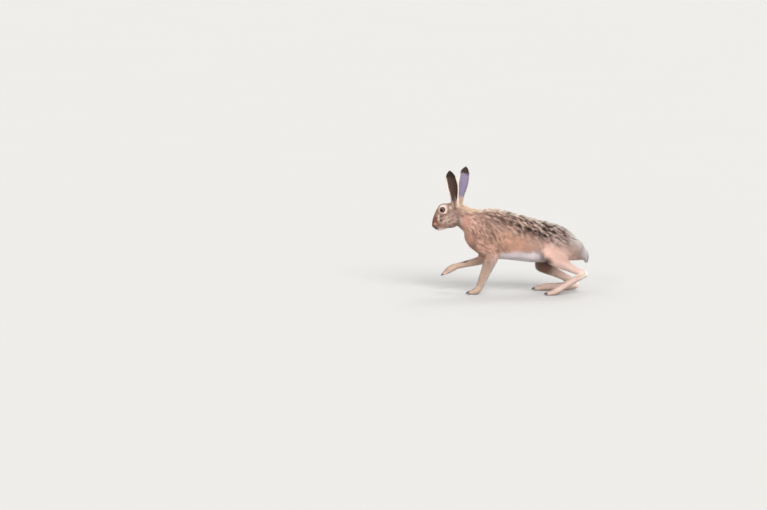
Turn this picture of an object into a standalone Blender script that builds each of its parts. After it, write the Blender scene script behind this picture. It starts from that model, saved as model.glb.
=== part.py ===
"""A brown hare walking low over the ground, life size, as a still museum model.

Axes: the nose points to -X, the hare's left side to -Y, up is +Z, and the feet stand on z = 0.
The left forefoot and both hind feet carry it, and the right foreleg reaches forward off the ground.
"""

import math
from collections import namedtuple

import bmesh
import bpy
from mathutils import Matrix, Vector
from mathutils.bvhtree import BVHTree

# Driving dimensions, in metres.
NOSE_TO_RUMP = 0.520
EAR_LENGTH = 0.126
EYEBALL_RADIUS = 0.0098
HIND_CLAW_LENGTH = 0.0100
FORE_CLAW_LENGTH = 0.0085
GAP = 0.0003

# Every station below is counted in steps: 520 of them make the length from nose to rump.
STEP = NOSE_TO_RUMP / 520

LEFT, RIGHT = -1, 1
SIDE_NAMES = {LEFT: "left", RIGHT: "right"}

ACROSS = Vector((0, 1, 0))
UP = Vector((0, 0, 1))

# x, top and bottom heights, half width, and how much wider the upper half is than the lower.
TrunkStation = namedtuple("TrunkStation", "x top bottom half_width top_heavy")
# Centre x, y, z, half width across the body, half depth along it.
LimbStation = namedtuple("LimbStation", "x y z half_width half_depth")
# Distance towards the nose, top and bottom above the head's own axis, half width, top heavy.
HeadStation = namedtuple("HeadStation", "ahead top bottom half_width top_heavy")

TRUNK = [
    TrunkStation(-155, 228, 186, 20, 0.0),
    TrunkStation(-142, 250, 160, 34, 0.05),
    TrunkStation(-118, 270, 138, 45, 0.08),
    TrunkStation(-86, 286, 121, 53, 0.08),
    TrunkStation(-48, 286, 113, 58, 0.04),
    TrunkStation(-5, 276, 110, 60, 0.0),
    TrunkStation(45, 262, 104, 59, -0.04),
    TrunkStation(92, 249, 101, 57, -0.04),
    TrunkStation(135, 239, 104, 57, 0.0),
    TrunkStation(174, 225, 108, 56, 0.04),
    TrunkStation(203, 206, 108, 51, 0.04),
    TrunkStation(227, 180, 108, 42, 0.0),
    TrunkStation(243, 156, 111, 30, 0.0),
    TrunkStation(253, 140, 120, 14, 0.0),
]
NECK = [
    LimbStation(-84, 0, 214, 50, 60),
    LimbStation(-122, 0, 238, 43, 50),
    LimbStation(-152, 0, 253, 37, 39.5),
    LimbStation(-177, 0, 266, 31, 37),
    LimbStation(-200, 0, 262, 24, 29),
]
TAIL = [
    LimbStation(228, 0, 160, 15, 11),
    LimbStation(242, 0, 149, 18, 13),
    LimbStation(251, 0, 133, 19, 12.5),
    LimbStation(255, 0, 116, 17, 11),
    LimbStation(255, 0, 101, 10, 7),
]

# The head has its own axes: ahead runs down to the nose, above is square to it, out is to the side.
HEAD_CENTRE = Vector((-200, 0, 255))
HEAD_SLOPE = math.radians(30)
AHEAD = Vector((-math.cos(HEAD_SLOPE), 0, -math.sin(HEAD_SLOPE)))
ABOVE = Vector((-math.sin(HEAD_SLOPE), 0, math.cos(HEAD_SLOPE)))

HEAD = [
    HeadStation(-42, 20, -38, 24, 0.0),
    HeadStation(-28, 34, -46, 29, 0.0),
    HeadStation(-14, 46, -45, 30, -0.04),
    HeadStation(2, 52.5, -40, 30, -0.08),
    HeadStation(17, 50.5, -33, 27.5, -0.10),
    HeadStation(31, 44, -28, 23.5, -0.12),
    HeadStation(44, 34, -25, 20, -0.10),
    HeadStation(54, 25, -21, 17.5, -0.05),
    HeadStation(61, 17, -16, 14.5, 0.0),
    HeadStation(66.5, 9, -8, 9, 0.0),
]
EYE_AT = (9, 20.5, 37.5)
EYE_LOOKS = (0.22, 1.0, 0.16)

# Each bulge: ahead, out, above, then its radii along the same axes. Those with out above 0 have a twin.
HEAD_BULGES = [
    (7, 14, 36, 22, 13.5, 17),
    (5, 14, 42, 17, 11, 9.5),
    (-5, 13, -11, 30, 18.5, 26),
    (22, 11, 2, 25, 14.5, 21),
    (52, 7.5, 1, 14, 11, 13),
    (60, 0, 3.5, 10, 8.5, 8.5),
    (50, 0, -14, 13, 10, 9),
    (26, 0, 25, 23, 14, 14),
    (-16, 0, 26, 25, 21, 18.5),
    (-33, 15, 21, 15, 13, 14),
]

FORELEGS = {
    LEFT: [
        LimbStation(-108, -32, 188, 19, 20),
        LimbStation(-92, -41, 160, 21, 27),
        LimbStation(-62, -44, 134, 19, 25),
        LimbStation(-69, -43, 108, 14.5, 23.5),
        LimbStation(-80, -42, 80, 12, 19.5),
        LimbStation(-93, -41, 48, 10.5, 16),
        LimbStation(-102, -40, 24, 10, 12.5),
        LimbStation(-106, -40, 14, 10, 10),
    ],
    RIGHT: [
        LimbStation(-108, 32, 186, 19, 20),
        LimbStation(-95, 40, 150, 20, 25),
        LimbStation(-76, 43, 116, 17, 21),
        LimbStation(-100, 42, 103, 13.5, 17),
        LimbStation(-130, 40, 95, 11.5, 14),
        LimbStation(-160, 39, 88, 10.5, 12),
        LimbStation(-182, 38, 83, 10, 11),
        LimbStation(-191, 38, 79, 10, 10),
    ],
}
PAWS = {
    LEFT: [
        LimbStation(-97, -40, 33, 10, 12),
        LimbStation(-104, -40, 21, 11.5, 12),
        LimbStation(-113, -40, 12, 14, 12.5),
        LimbStation(-124, -40, 8, 14.5, 10),
        LimbStation(-133, -40, 6.5, 13, 6.5),
    ],
    RIGHT: [
        LimbStation(-172, 38, 85.5, 10, 11.5),
        LimbStation(-186, 38, 81, 11.5, 12),
        LimbStation(-199, 38, 74, 14, 12),
        LimbStation(-210, 38, 67, 14.5, 10),
        LimbStation(-218, 38, 62, 13, 6.5),
    ],
}
# Where the toes spring, and the way they point.
FORE_TOES = {
    LEFT: (Vector((-125, -40, 6.5)), Vector((-1, 0, -0.04))),
    RIGHT: (Vector((-212, 38, 64.5)), Vector((-0.86, 0, -0.5))),
}

HIND_LEGS = {
    LEFT: [
        LimbStation(238, -26, 146, 14, 18),
        LimbStation(219, -33, 157, 26, 33),
        LimbStation(190, -42, 160, 31, 43),
        LimbStation(160, -50, 150, 28, 40),
        LimbStation(133, -58, 134, 22, 29),
        LimbStation(150, -60, 119, 19, 25),
        LimbStation(180, -59, 103, 15.5, 21),
        LimbStation(212, -58, 87, 12, 15.5),
        LimbStation(238, -57, 75, 11, 12),
        LimbStation(250, -57, 70, 10, 10),
    ],
    RIGHT: [
        LimbStation(236, 26, 144, 14, 18),
        LimbStation(215, 33, 152, 26, 33),
        LimbStation(182, 42, 142, 31, 43),
        LimbStation(143, 50, 118, 28, 40),
        LimbStation(105, 57, 92, 23, 30),
        LimbStation(122, 59, 76, 19, 23),
        LimbStation(150, 59, 62, 15.5, 18),
        LimbStation(180, 58, 47, 12.5, 15),
        LimbStation(208, 57, 34, 11, 12),
        LimbStation(221, 57, 28, 10, 10),
    ],
}
FEET = {
    LEFT: [
        LimbStation(258, -57, 77, 8, 8),
        LimbStation(249, -57, 70, 11, 12.5),
        LimbStation(226, -58, 57, 11.5, 12),
        LimbStation(198, -59, 41, 12.5, 11.5),
        LimbStation(172, -60, 25, 14.5, 11.5),
        LimbStation(154, -61, 14, 16.5, 12),
        LimbStation(140, -61, 8, 16.5, 10),
        LimbStation(129, -61, 6.5, 15, 6.5),
    ],
    RIGHT: [
        LimbStation(232, 57, 22, 8, 9),
        LimbStation(222, 57, 19, 11, 15),
        LimbStation(196, 58, 14, 12, 15),
        LimbStation(166, 59, 12, 13, 14),
        LimbStation(136, 60, 11, 15, 13),
        LimbStation(114, 61, 10, 16.5, 12),
        LimbStation(100, 61, 8, 16.5, 10),
        LimbStation(89, 61, 6.5, 15, 6.5),
    ],
}
HIND_TOES = {
    LEFT: (Vector((139, -61, 6.5)), Vector((-1, 0, -0.04))),
    RIGHT: (Vector((99, 61, 6.5)), Vector((-1, 0, -0.04))),
}

# Ears: root and tip of each, and the way its cup opens.
EAR_ROOT = {LEFT: Vector((-183, -18, 296)), RIGHT: Vector((-172, 18, 298))}
EAR_LEAN = {LEFT: Vector((-0.16, -0.24, 1)), RIGHT: Vector((0.21, 0.24, 1))}
EAR_OPENS = {LEFT: Vector((-0.34, -1, 0)), RIGHT: Vector((-0.40, 1, 0))}
# Share of the ear's length, half width, half of the arc that the cup wraps, in degrees, and thickness.
EarStation = namedtuple("EarStation", "share half_width half_arc thickness")
EAR = [
    EarStation(-0.10, 9.0, 158, 4.2),
    EarStation(0.00, 9.5, 152, 3.8),
    EarStation(0.10, 10.0, 138, 3.2),
    EarStation(0.20, 12.0, 118, 2.7),
    EarStation(0.32, 15.0, 98, 2.4),
    EarStation(0.44, 18.0, 84, 2.2),
    EarStation(0.56, 20.5, 74, 2.1),
    EarStation(0.68, 21.0, 67, 2.0),
    EarStation(0.79, 18.5, 60, 1.9),
    EarStation(0.88, 14.5, 55, 1.8),
    EarStation(0.95, 9.5, 50, 1.7),
    EarStation(1.00, 3.5, 45, 1.6),
]
EAR_ARC_STEPS = 8
EAR_RIM_SHARE = 0.62
EAR_BEND = 3.0
EAR_SOCKET_SHARE = 0.33

# How finely each fused form is made: voxel size, passes of smoothing and triangles left.
Fineness = namedtuple("Fineness", "voxel passes triangles")
BODY_FINENESS = Fineness(3.0, 16, 3000)
HEAD_FINENESS = Fineness(1.5, 20, 2100)
PAW_FINENESS = Fineness(1.3, 6, 430)
FOOT_FINENESS = Fineness(1.5, 7, 570)

RING_SIDES = 28

# Where the neck meets the head and the trunk.
HEAD_CUT, HEAD_CUT_WAY = Vector((-165, 0, 264)), Vector((-0.80, 0, 0.36))
NECK_CUT, NECK_CUT_WAY = Vector((-136, 0, 240)), Vector((-0.86, 0, 0.50))
# Each lower leg's stretch of its limb, and how far the cuts round limbs stand off their surface.
FOREARM_STATIONS = slice(3, 7)
SHANK_STATIONS = slice(5, 9)
THIGH_STATIONS = slice(1, 5)
REGION_MARGIN = 1.2
THIGH_DEPTH = 30
THIGH_MARGIN = 5
HIP_REACH = 14
KNEE_REACH = 30
# Each shoulder's region: its centre, its radii and its tilt in degrees.
SHOULDER_REGION = {
    LEFT: ((-84, 62, 176), (44, 27, 74), -14),
    RIGHT: ((-92, 62, 168), (40, 27, 74), 4),
}
# How far apart a foot's toes spring, and their length, half height and the height of their claws.
Toes = namedtuple("Toes", "apart length half_height claw_height")
FORE_TOE_SIZES = Toes(6.6, 17, 7.2, 0.6)
HIND_TOE_SIZES = Toes(7.6, 19, 7.6, 0.6)
TOE_PLACES = (-1.5, -0.5, 0.5, 1.5)
OUTER_TOE_SHORTER = 0.10
TOE_SPLAY = 0.07
# Half width and half height of a claw at its root and at its tip, how it tapers and how far it curves down.
CLAW_ROOT = (1.55, 2.10)
CLAW_TIP = (0.30, 0.35)
CLAW_TAPER = 0.8
CLAW_CURVE = 0.20

# The shoulder blade: its centre and its radii.
SHOULDER_BLADE = ((-92, 34, 208), (36, 22, 58))

# The opening between the lids: half its length and height, how pointed its corners are, how far it stands
# off the middle of the eye, in radii, how far its corners sink, and the half thickness of the rim.
LID_HALF_LENGTH = 8.7
LID_HALF_HEIGHT = 7.9
LID_POINT = 0.10
LID_STAND = 0.62
LID_CORNER_SINK = 0.4
LID_RIM = (1.7, 1.5)

# Heights of the cleft under the nose, the half width of its groove, and the same for the lips.
CLEFT_HEIGHTS = (5.5, 2.5, -0.5, -3.5, -6.5)
CLEFT_WIDTH = 0.75
LIP_SHARES = (0.03, 0.2, 0.4, 0.6, 0.8, 1.0)
LIP_WIDTH = 0.8
# Each point of a nostril: how far out and above it starts, and how far it turns to the side.
NOSTRIL = ((1.0, 6.6, 0.1), (3.4, 8.6, 0.3), (5.6, 9.4, 0.5), (7.2, 8.2, 0.7))
NOSTRIL_WIDTH = 0.85

# Sizes of the blocks that cut: wide enough for the neck alone, and for the whole hare.
NECK_BLOCK = 160
REACH = 400


def clear_scene():
    for obj in list(bpy.data.objects):
        bpy.data.objects.remove(obj)


def material(name, colour, roughness):
    made = bpy.data.materials.new(name)
    made.use_nodes = True
    shader = made.node_tree.nodes["Principled BSDF"]
    shader.inputs["Base Color"].default_value = (*colour, 1.0)
    shader.inputs["Roughness"].default_value = roughness
    shader.inputs["Metallic"].default_value = 0.0
    return made


def object_from(name, form):
    """Turns a bmesh, counted in steps, into an object in metres with its faces pointing out."""
    bmesh.ops.recalc_face_normals(form, faces=form.faces)
    bmesh.ops.scale(form, vec=(STEP, STEP, STEP), verts=form.verts)
    mesh = bpy.data.meshes.new(name)
    form.to_mesh(mesh)
    form.free()
    obj = bpy.data.objects.new(name, mesh)
    bpy.context.scene.collection.objects.link(obj)
    return obj


def loft(name, rings, alike=False):
    """A closed form through rings of points, capped at both ends. Alike splits every quad the same way."""
    form = bmesh.new()
    loops = [[form.verts.new(point) for point in ring] for ring in rings]
    count = len(loops[0])
    for near, far in zip(loops, loops[1:]):
        for i in range(count):
            j = (i + 1) % count
            if alike:
                form.faces.new((near[i], near[j], far[j]))
                form.faces.new((near[i], far[j], far[i]))
            else:
                form.faces.new((near[i], near[j], far[j], far[i]))
    form.faces.new(loops[0])
    form.faces.new(loops[-1])
    return object_from(name, form)


def oval(centre, wide, high, half_width, half_height, top_heavy=0.0, sides=RING_SIDES):
    """A ring of points: an oval that is wider above its middle when top_heavy is positive."""
    points = []
    for i in range(sides):
        turn = 2 * math.pi * i / sides
        widen = 1 + top_heavy * math.sin(turn)
        points.append(
            centre
            + wide * (half_width * widen * math.cos(turn))
            + high * (half_height * math.sin(turn))
        )
    return points


def smooth_between(stations, parts=3):
    """Stations with more between them, along a Catmull-Rom curve through each of their numbers."""
    kind = type(stations[0])
    made = []
    last = len(stations) - 1
    for i in range(last):
        before, here = stations[max(i - 1, 0)], stations[i]
        after, beyond = stations[i + 1], stations[min(i + 2, last)]
        for k in range(parts):
            t = k / parts
            made.append(
                kind(
                    *(
                        0.5
                        * (
                            2 * b
                            + (c - a) * t
                            + (2 * a - 5 * b + 4 * c - d) * t * t
                            + (3 * b - 3 * c + d - a) * t**3
                        )
                        for a, b, c, d in zip(before, here, after, beyond)
                    )
                )
            )
    made.append(stations[-1])
    return made


def trunk():
    rings = []
    for s in smooth_between(TRUNK):
        centre = Vector((s.x, 0, (s.top + s.bottom) / 2))
        rings.append(oval(centre, ACROSS, UP, s.half_width, (s.top - s.bottom) / 2, s.top_heavy))
    return loft("trunk", rings)


def limb(name, stations, wider=0.0, before=0.0, after=0.0):
    """A tube of ovals square to the path through the stations, longer by before and after at its ends."""
    path = smooth_between(stations)
    centres = [Vector((s.x, s.y, s.z)) for s in path]
    last = len(path) - 1
    rings = []
    for i, s in enumerate(path):
        along = (centres[min(i + 1, last)] - centres[max(i - 1, 0)]).normalized()
        deep = along.cross(ACROSS).normalized()
        wide = deep.cross(along)
        centre = centres[i] + along * (after * (i == last) - before * (i == 0))
        rings.append(oval(centre, wide, deep, s.half_width + wider, s.half_depth + wider))
    return loft(name, rings)


def limb_end(stations):
    """The middle of a limb's last ring, and the way the limb leaves it."""
    path = smooth_between(stations)
    last, before = (Vector((s.x, s.y, s.z)) for s in (path[-1], path[-2]))
    return last, (last - before).normalized()


def limb_region(stations):
    """A region a little wider than the limb, with square ends."""
    return lambda grow: limb("region", stations, REGION_MARGIN + grow, grow, grow)


def head_point(ahead, out, above):
    """A place on the head in its own axes; out is towards +Y."""
    return HEAD_CENTRE + AHEAD * ahead + ACROSS * out + ABOVE * above


def head_way(ahead, out, above):
    return (AHEAD * ahead + ACROSS * out + ABOVE * above).normalized()


AXES = (Vector((1, 0, 0)), Vector((0, 1, 0)), Vector((0, 0, 1)))


def head_core():
    rings = []
    for s in smooth_between(HEAD):
        centre = head_point(s.ahead, 0, (s.top + s.bottom) / 2)
        rings.append(
            oval(centre, ACROSS, ABOVE, s.half_width, (s.top - s.bottom) / 2, s.top_heavy)
        )
    return loft("head_core", rings)


def upward(way):
    """The way square to a toe or claw and to the hare's width that points up."""
    high = way.cross(ACROSS).normalized()
    return high if high.z > 0 else -high


def axes_matrix(centre, x_way, y_way, z_way):
    turned = Matrix((x_way, y_way, z_way)).transposed().to_4x4()
    return Matrix.Translation(centre) @ turned


def ellipsoid(name, placing, radii, rings=12):
    """An ellipsoid with its radii along the placing's own axes."""
    form = bmesh.new()
    bmesh.ops.create_uvsphere(form, u_segments=2 * rings, v_segments=rings, radius=1)
    bmesh.ops.scale(form, vec=radii, verts=form.verts)
    bmesh.ops.transform(form, matrix=placing, verts=form.verts)
    return object_from(name, form)


def head_bulges():
    made = []
    for ahead, out, above, *radii in HEAD_BULGES:
        for side in (LEFT, RIGHT) if out else (LEFT,):
            placing = axes_matrix(head_point(ahead, side * out, above), AHEAD, ACROSS, ABOVE)
            made.append(ellipsoid("head_bulge", placing, radii))
    return made


def evaluated(obj):
    """Replaces the object's mesh with what its modifiers make of it."""
    graph = bpy.context.evaluated_depsgraph_get()
    graph.update()
    made = bpy.data.meshes.new_from_object(obj.evaluated_get(graph))
    obj.modifiers.clear()
    obj.data = made
    return obj


def joined(name, pieces):
    """One object from several, their meshes still lying through each other."""
    form = bmesh.new()
    for piece in pieces:
        form.from_mesh(piece.data)
        bpy.data.objects.remove(piece)
    mesh = bpy.data.meshes.new(name)
    form.to_mesh(mesh)
    form.free()
    obj = bpy.data.objects.new(name, mesh)
    bpy.context.scene.collection.objects.link(obj)
    return obj


def fused(name, pieces, fineness):
    """Melts pieces into one smooth skin: voxels join them, smoothing rounds the seams."""
    obj = joined(name, pieces)
    remesh = obj.modifiers.new("remesh", "REMESH")
    remesh.mode = "VOXEL"
    remesh.voxel_size = fineness.voxel * STEP
    smooth = obj.modifiers.new("smooth", "SMOOTH")
    smooth.factor = 0.5
    smooth.iterations = fineness.passes
    evaluated(obj)
    triangles = sum(len(face.vertices) - 2 for face in obj.data.polygons)
    thin = obj.modifiers.new("thin", "DECIMATE")
    thin.ratio = min(1.0, fineness.triangles / triangles)
    return evaluated(obj)


def is_closed(mesh):
    """Whether every edge joins exactly two faces."""
    form = bmesh.new()
    form.from_mesh(mesh)
    closed = bool(form.faces) and all(edge.is_manifold for edge in form.edges)
    form.free()
    return closed


def combined(obj, tool, operation):
    """Applies a Boolean of obj with tool, by MANIFOLD where EXACT leaves an open edge."""
    before = obj.data
    for solver in ("EXACT", "MANIFOLD"):
        obj.data = before
        boolean = obj.modifiers.new("boolean", "BOOLEAN")
        boolean.operation = operation
        boolean.solver = solver
        boolean.object = tool
        evaluated(obj)
        if is_closed(obj.data):
            break
    bpy.data.objects.remove(tool)
    return obj


def keep_largest(obj):
    """Keeps only the closed surface with the most volume."""
    form = bmesh.new()
    form.from_mesh(obj.data)
    left = set(form.verts)
    best, best_volume = None, -1.0
    while left:
        seen, edge = set(), [left.pop()]
        while edge:
            vert = edge.pop()
            seen.add(vert)
            for link in vert.link_edges:
                other = link.other_vert(vert)
                if other in left:
                    left.discard(other)
                    edge.append(other)
        volume = 0.0
        for face in {face for vert in seen for face in vert.link_faces}:
            first = face.verts[0].co
            for a, b in zip(face.verts[1:], face.verts[2:]):
                volume += first.dot(a.co.cross(b.co)) / 6
        if volume > best_volume:
            best, best_volume = seen, volume
    bmesh.ops.delete(form, geom=[v for v in form.verts if v not in best], context="VERTS")
    form.to_mesh(obj.data)
    form.free()
    return obj


def copy_of(obj, name):
    made = bpy.data.objects.new(name, obj.data.copy())
    bpy.context.scene.collection.objects.link(made)
    return made


def half_space(point, normal, grow=0.0, wide=REACH):
    """A block that starts at the plane through point and runs on along normal."""
    normal = normal.normalized()
    form = bmesh.new()
    bmesh.ops.create_cube(form, size=1)
    bmesh.ops.scale(form, vec=(wide, wide, REACH), verts=form.verts)
    turned = normal.to_track_quat("Z", "Y").to_matrix().to_4x4()
    middle = point + normal * (REACH / 2 - grow)
    bmesh.ops.transform(form, matrix=Matrix.Translation(middle) @ turned, verts=form.verts)
    return object_from("region", form)


def split_off(name, rest, region):
    """Parts rest by a region: the new piece lies inside it, and rest keeps a gap all round it."""
    piece = combined(copy_of(rest, name), region(0.0), "INTERSECT")
    combined(rest, region(GAP / STEP), "DIFFERENCE")
    keep_largest(rest)
    return keep_largest(piece)


def shoulder_region(side):
    """An oval region over the shoulder and the upper arm."""
    centre, radii, tilt = SHOULDER_REGION[side]

    def region(grow):
        turn = Matrix.Rotation(math.radians(tilt), 3, "Y")
        middle = Vector((centre[0], side * centre[1], centre[2]))
        placing = axes_matrix(middle, *(turn @ way for way in AXES))
        return ellipsoid("region", placing, [r + grow for r in radii], rings=14)

    return region


def thigh_region(side):
    """The thigh and the knee, as deep as THIGH_DEPTH from the midline."""

    def region(grow):
        thigh = HIND_LEGS[side][THIGH_STATIONS]
        whole = limb("region", thigh, THIGH_MARGIN + grow, HIP_REACH + grow, KNEE_REACH + grow)
        outer = half_space(ACROSS * (side * THIGH_DEPTH), ACROSS * side, grow, 2 * REACH)
        return combined(whole, outer, "INTERSECT")

    return region


def ear_axis(side, share):
    """A point of the ear's middle line, bowed a little to the front."""
    lean = EAR_LEAN[side].normalized()
    bow = EAR_BEND * math.sin(math.pi * max(share, 0.0))
    return EAR_ROOT[side] + lean * (EAR_LENGTH / STEP * share) + Vector((bow, 0, 0))


def ear_cup(name, side):
    """A leaf of skin rolled into a cup: nearly a tube at the root, a shallow blade at the tip."""
    lean = EAR_LEAN[side].normalized()
    opens = (EAR_OPENS[side] - lean * EAR_OPENS[side].dot(lean)).normalized()
    wide = lean.cross(opens)
    rings = []
    for s in smooth_between(EAR, parts=2):
        half_arc = math.radians(s.half_arc)
        radius = s.half_width / (math.sin(half_arc) if s.half_arc < 90 else 1.0)
        sagitta = radius * (1 - math.cos(half_arc))
        centre = ear_axis(side, s.share) + opens * (radius - sagitta / 2)
        outer, inner = [], []
        for i in range(EAR_ARC_STEPS + 1):
            across = 2 * i / EAR_ARC_STEPS - 1
            turn = half_arc * across
            way = wide * math.sin(turn) - opens * math.cos(turn)
            thick = s.thickness * (1 - (1 - EAR_RIM_SHARE) * across * across)
            outer.append(centre + way * radius)
            inner.append(centre + way * (radius - thick))
        rings.append(outer + inner[::-1])
    return loft(name, rings, alike=True)


def ear_socket(side):
    """The hole that an ear's root stands in: an oval plug a gap wider than the root."""
    lean = EAR_LEAN[side].normalized()
    opens = (EAR_OPENS[side] - lean * EAR_OPENS[side].dot(lean)).normalized()
    wide = lean.cross(opens)
    gap = GAP / STEP
    rings = []
    for s in smooth_between(EAR, parts=2):
        if s.share > EAR_SOCKET_SHARE:
            break
        radius = s.half_width
        sagitta = radius * (1 - math.cos(math.radians(s.half_arc)))
        centre = ear_axis(side, s.share) + opens * (radius - sagitta / 2)
        if not rings:
            centre = centre - lean * gap
        rings.append(oval(centre, wide, opens, radius + gap, radius + gap, sides=24))
    return loft("ear_socket", rings)


def toe_lines(root, way, sizes):
    """Where each toe springs, the way it points and its length, the middle two longest."""
    lines = []
    for k in TOE_PLACES:
        reach = sizes.length * (1 - OUTER_TOE_SHORTER * (abs(k) - 0.5))
        splay = (way.normalized() + ACROSS * (TOE_SPLAY * k)).normalized()
        lines.append((root + ACROSS * (sizes.apart * k), splay, reach))
    return lines


def toes(root, way, sizes):
    """Four toes side by side, each an egg that is sunk in the foot and touches the next."""
    high = upward(way)
    made = []
    for start, splay, reach in toe_lines(root, way, sizes):
        placing = axes_matrix(start + splay * (reach * 0.35), splay, ACROSS, high)
        radii = (reach * 0.75, sizes.apart * 0.56, sizes.half_height)
        made.append(ellipsoid("toe", placing, radii, 10))
    return made


def claw(name, root, way, length, grow=0.0):
    """A curved, tapering claw, its root sunk in the toe."""
    high = upward(way)
    rings = []
    last = 3
    for i in range(last + 1):
        share = i / last
        further = length * share - grow * (i == 0) + grow * (i == last)
        centre = root + way * further - high * (CLAW_CURVE * length * share * share)
        taper = (1 - share) ** CLAW_TAPER
        half_width, half_height = (
            tip + (thick - tip) * taper + grow for thick, tip in zip(CLAW_ROOT, CLAW_TIP)
        )
        rings.append(oval(centre, ACROSS, high, half_width, half_height, sides=6))
    return loft(name, rings)


def claws_on(foot, label, root, way, sizes, length):
    """Sets four claws into a foot, each in a socket a gap wider than itself."""
    made = []
    steps = length / STEP
    for number, (spring, splay, reach) in enumerate(toe_lines(root, way, sizes), start=1):
        start = spring + splay * (reach * 0.86) + UP * sizes.claw_height
        combined(foot, claw("socket", start, splay, steps, GAP / STEP), "DIFFERENCE")
        made.append(claw(f"claw_{label}_{number}", start, splay, steps))
    keep_largest(foot)
    return made


def surface_of(obj):
    """Finds the object's surface from a place inside it."""
    return BVHTree.FromObject(obj, bpy.context.evaluated_depsgraph_get())


def on_head(tree, ahead, out, above, way):
    """The place, in steps, where a line from inside the head along way comes out."""
    start = head_point(ahead, out, above) * STEP
    hit = tree.ray_cast(start, way)[0]
    return hit / STEP


def groove(points, radius):
    """A thin round bar along points, to carve a line with."""
    rings = []
    for i, point in enumerate(points):
        along = (points[min(i + 1, len(points) - 1)] - points[max(i - 1, 0)]).normalized()
        deep = along.cross(UP if abs(along.z) < 0.9 else ACROSS).normalized()
        rings.append(oval(point, deep.cross(along), deep, radius, radius, sides=6))
    return loft("groove", rings)


def mouth_lines(head):
    """The cleft under the nose and the line of the lips back to each corner of the mouth."""
    tree = surface_of(head)
    cleft = [
        on_head(tree, 52, 0, above, head_way(1, 0, 0)) + AHEAD * 0.1
        for above in CLEFT_HEIGHTS
    ]
    combined(head, groove(cleft, CLEFT_WIDTH), "DIFFERENCE")
    for side in (LEFT, RIGHT):
        lips = []
        for share in LIP_SHARES:
            turn = math.radians(4 + 76 * share)
            way = head_way(math.cos(turn), side * math.sin(turn), 0)
            ahead = 56 - 17 * share
            above = -6.5 - 5.0 * math.sin(math.pi * share * 0.62) - 1.5 * share
            lips.append(on_head(tree, ahead, 0, above, way))
        combined(head, groove(lips, LIP_WIDTH), "DIFFERENCE")


def nostrils(head):
    """Two slits that slant down to the cleft."""
    tree = surface_of(head)
    for side in (LEFT, RIGHT):
        slit = [
            on_head(tree, 54, side * out, above, head_way(1, side * slant, 0))
            for out, above, slant in NOSTRIL
        ]
        combined(head, groove(slit, NOSTRIL_WIDTH), "DIFFERENCE")


def eye_place(side):
    ahead, out, above = EYE_AT
    looks = head_way(EYE_LOOKS[0], side * EYE_LOOKS[1], EYE_LOOKS[2])
    return head_point(ahead, side * out, above), looks


def eye_frame(side):
    """The eye's own axes: x along the slit, towards the nose, y square to it, z the way it looks."""
    centre, looks = eye_place(side)
    slit = AHEAD - looks * AHEAD.dot(looks)
    slit.normalize()
    return axes_matrix(centre, slit, looks.cross(slit), looks)


def eyelids(side):
    """A raised almond rim round the eye, a little pointed at both corners."""
    placing = eye_frame(side)
    radius = EYEBALL_RADIUS / STEP
    rings = []
    around = 24
    for i in range(around + 1):
        turn = 2 * math.pi * i / around
        long_way = LID_HALF_LENGTH * math.cos(turn) * (1 + LID_POINT * math.cos(turn) ** 2)
        high_way = LID_HALF_HEIGHT * math.sin(turn)
        height = radius * LID_STAND - LID_CORNER_SINK * math.cos(2 * turn)
        centre = Vector((long_way, high_way, height))
        outward = Vector((long_way, high_way, 0)).normalized()
        thick, tall = LID_RIM
        rim = []
        for k in range(8):
            bend = 2 * math.pi * k / 8
            offset = outward * (thick * math.cos(bend)) + Vector((0, 0, tall * math.sin(bend)))
            rim.append(placing @ (centre + offset))
        rings.append(rim)
    form = bmesh.new()
    loops = [[form.verts.new(point) for point in ring] for ring in rings[:-1]]
    for a in range(around):
        near, far = loops[a], loops[(a + 1) % around]
        for i in range(8):
            j = (i + 1) % 8
            form.faces.new((near[i], near[j], far[j], far[i]))
    return object_from("eyelids", form)


def eyeball(name, side, grow=0.0):
    radius = EYEBALL_RADIUS / STEP + grow
    return ellipsoid(name, eye_frame(side), (radius, radius, radius), rings=8)


def dress(obj, finish):
    obj.data.materials.clear()
    obj.data.materials.append(finish)
    for face in obj.data.polygons:
        face.material_index = 0
    obj.data.shade_smooth()
    obj.data.set_sharp_from_angle(angle=math.radians(40))
    return obj


def make_body():
    """Trunk, neck, tail and legs as one skin, then parted where a person would name its parts."""
    pieces = [trunk(), limb("neck", NECK), limb("tail", TAIL)]
    for side in (LEFT, RIGHT):
        pieces.append(limb("foreleg", FORELEGS[side]))
        pieces.append(limb("hind_leg", HIND_LEGS[side]))
        (x, y, z), radii = SHOULDER_BLADE
        pieces.append(ellipsoid("shoulder_blade", axes_matrix(Vector((x, side * y, z)), *AXES), radii))
    rest = fused("torso", pieces, BODY_FINENESS)
    parts = {}

    neck_front = half_space(HEAD_CUT, HEAD_CUT_WAY, GAP / 2 / STEP, NECK_BLOCK)
    combined(rest, neck_front, "DIFFERENCE")
    keep_largest(rest)
    parts["neck"] = split_off("neck", rest, lambda g: half_space(NECK_CUT, NECK_CUT_WAY, g, NECK_BLOCK))
    parts["tail"] = split_off("tail", rest, limb_region(TAIL[1:]))
    for side in (LEFT, RIGHT):
        regions = {
            "forearm": limb_region(FORELEGS[side][FOREARM_STATIONS]),
            "shoulder": shoulder_region(side),
            "shank": limb_region(HIND_LEGS[side][SHANK_STATIONS]),
            "thigh": thigh_region(side),
        }
        for label, region in regions.items():
            name = f"{label}_{SIDE_NAMES[side]}"
            parts[name] = split_off(name, rest, region)
    parts["torso"] = keep_largest(rest)
    return parts


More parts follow.
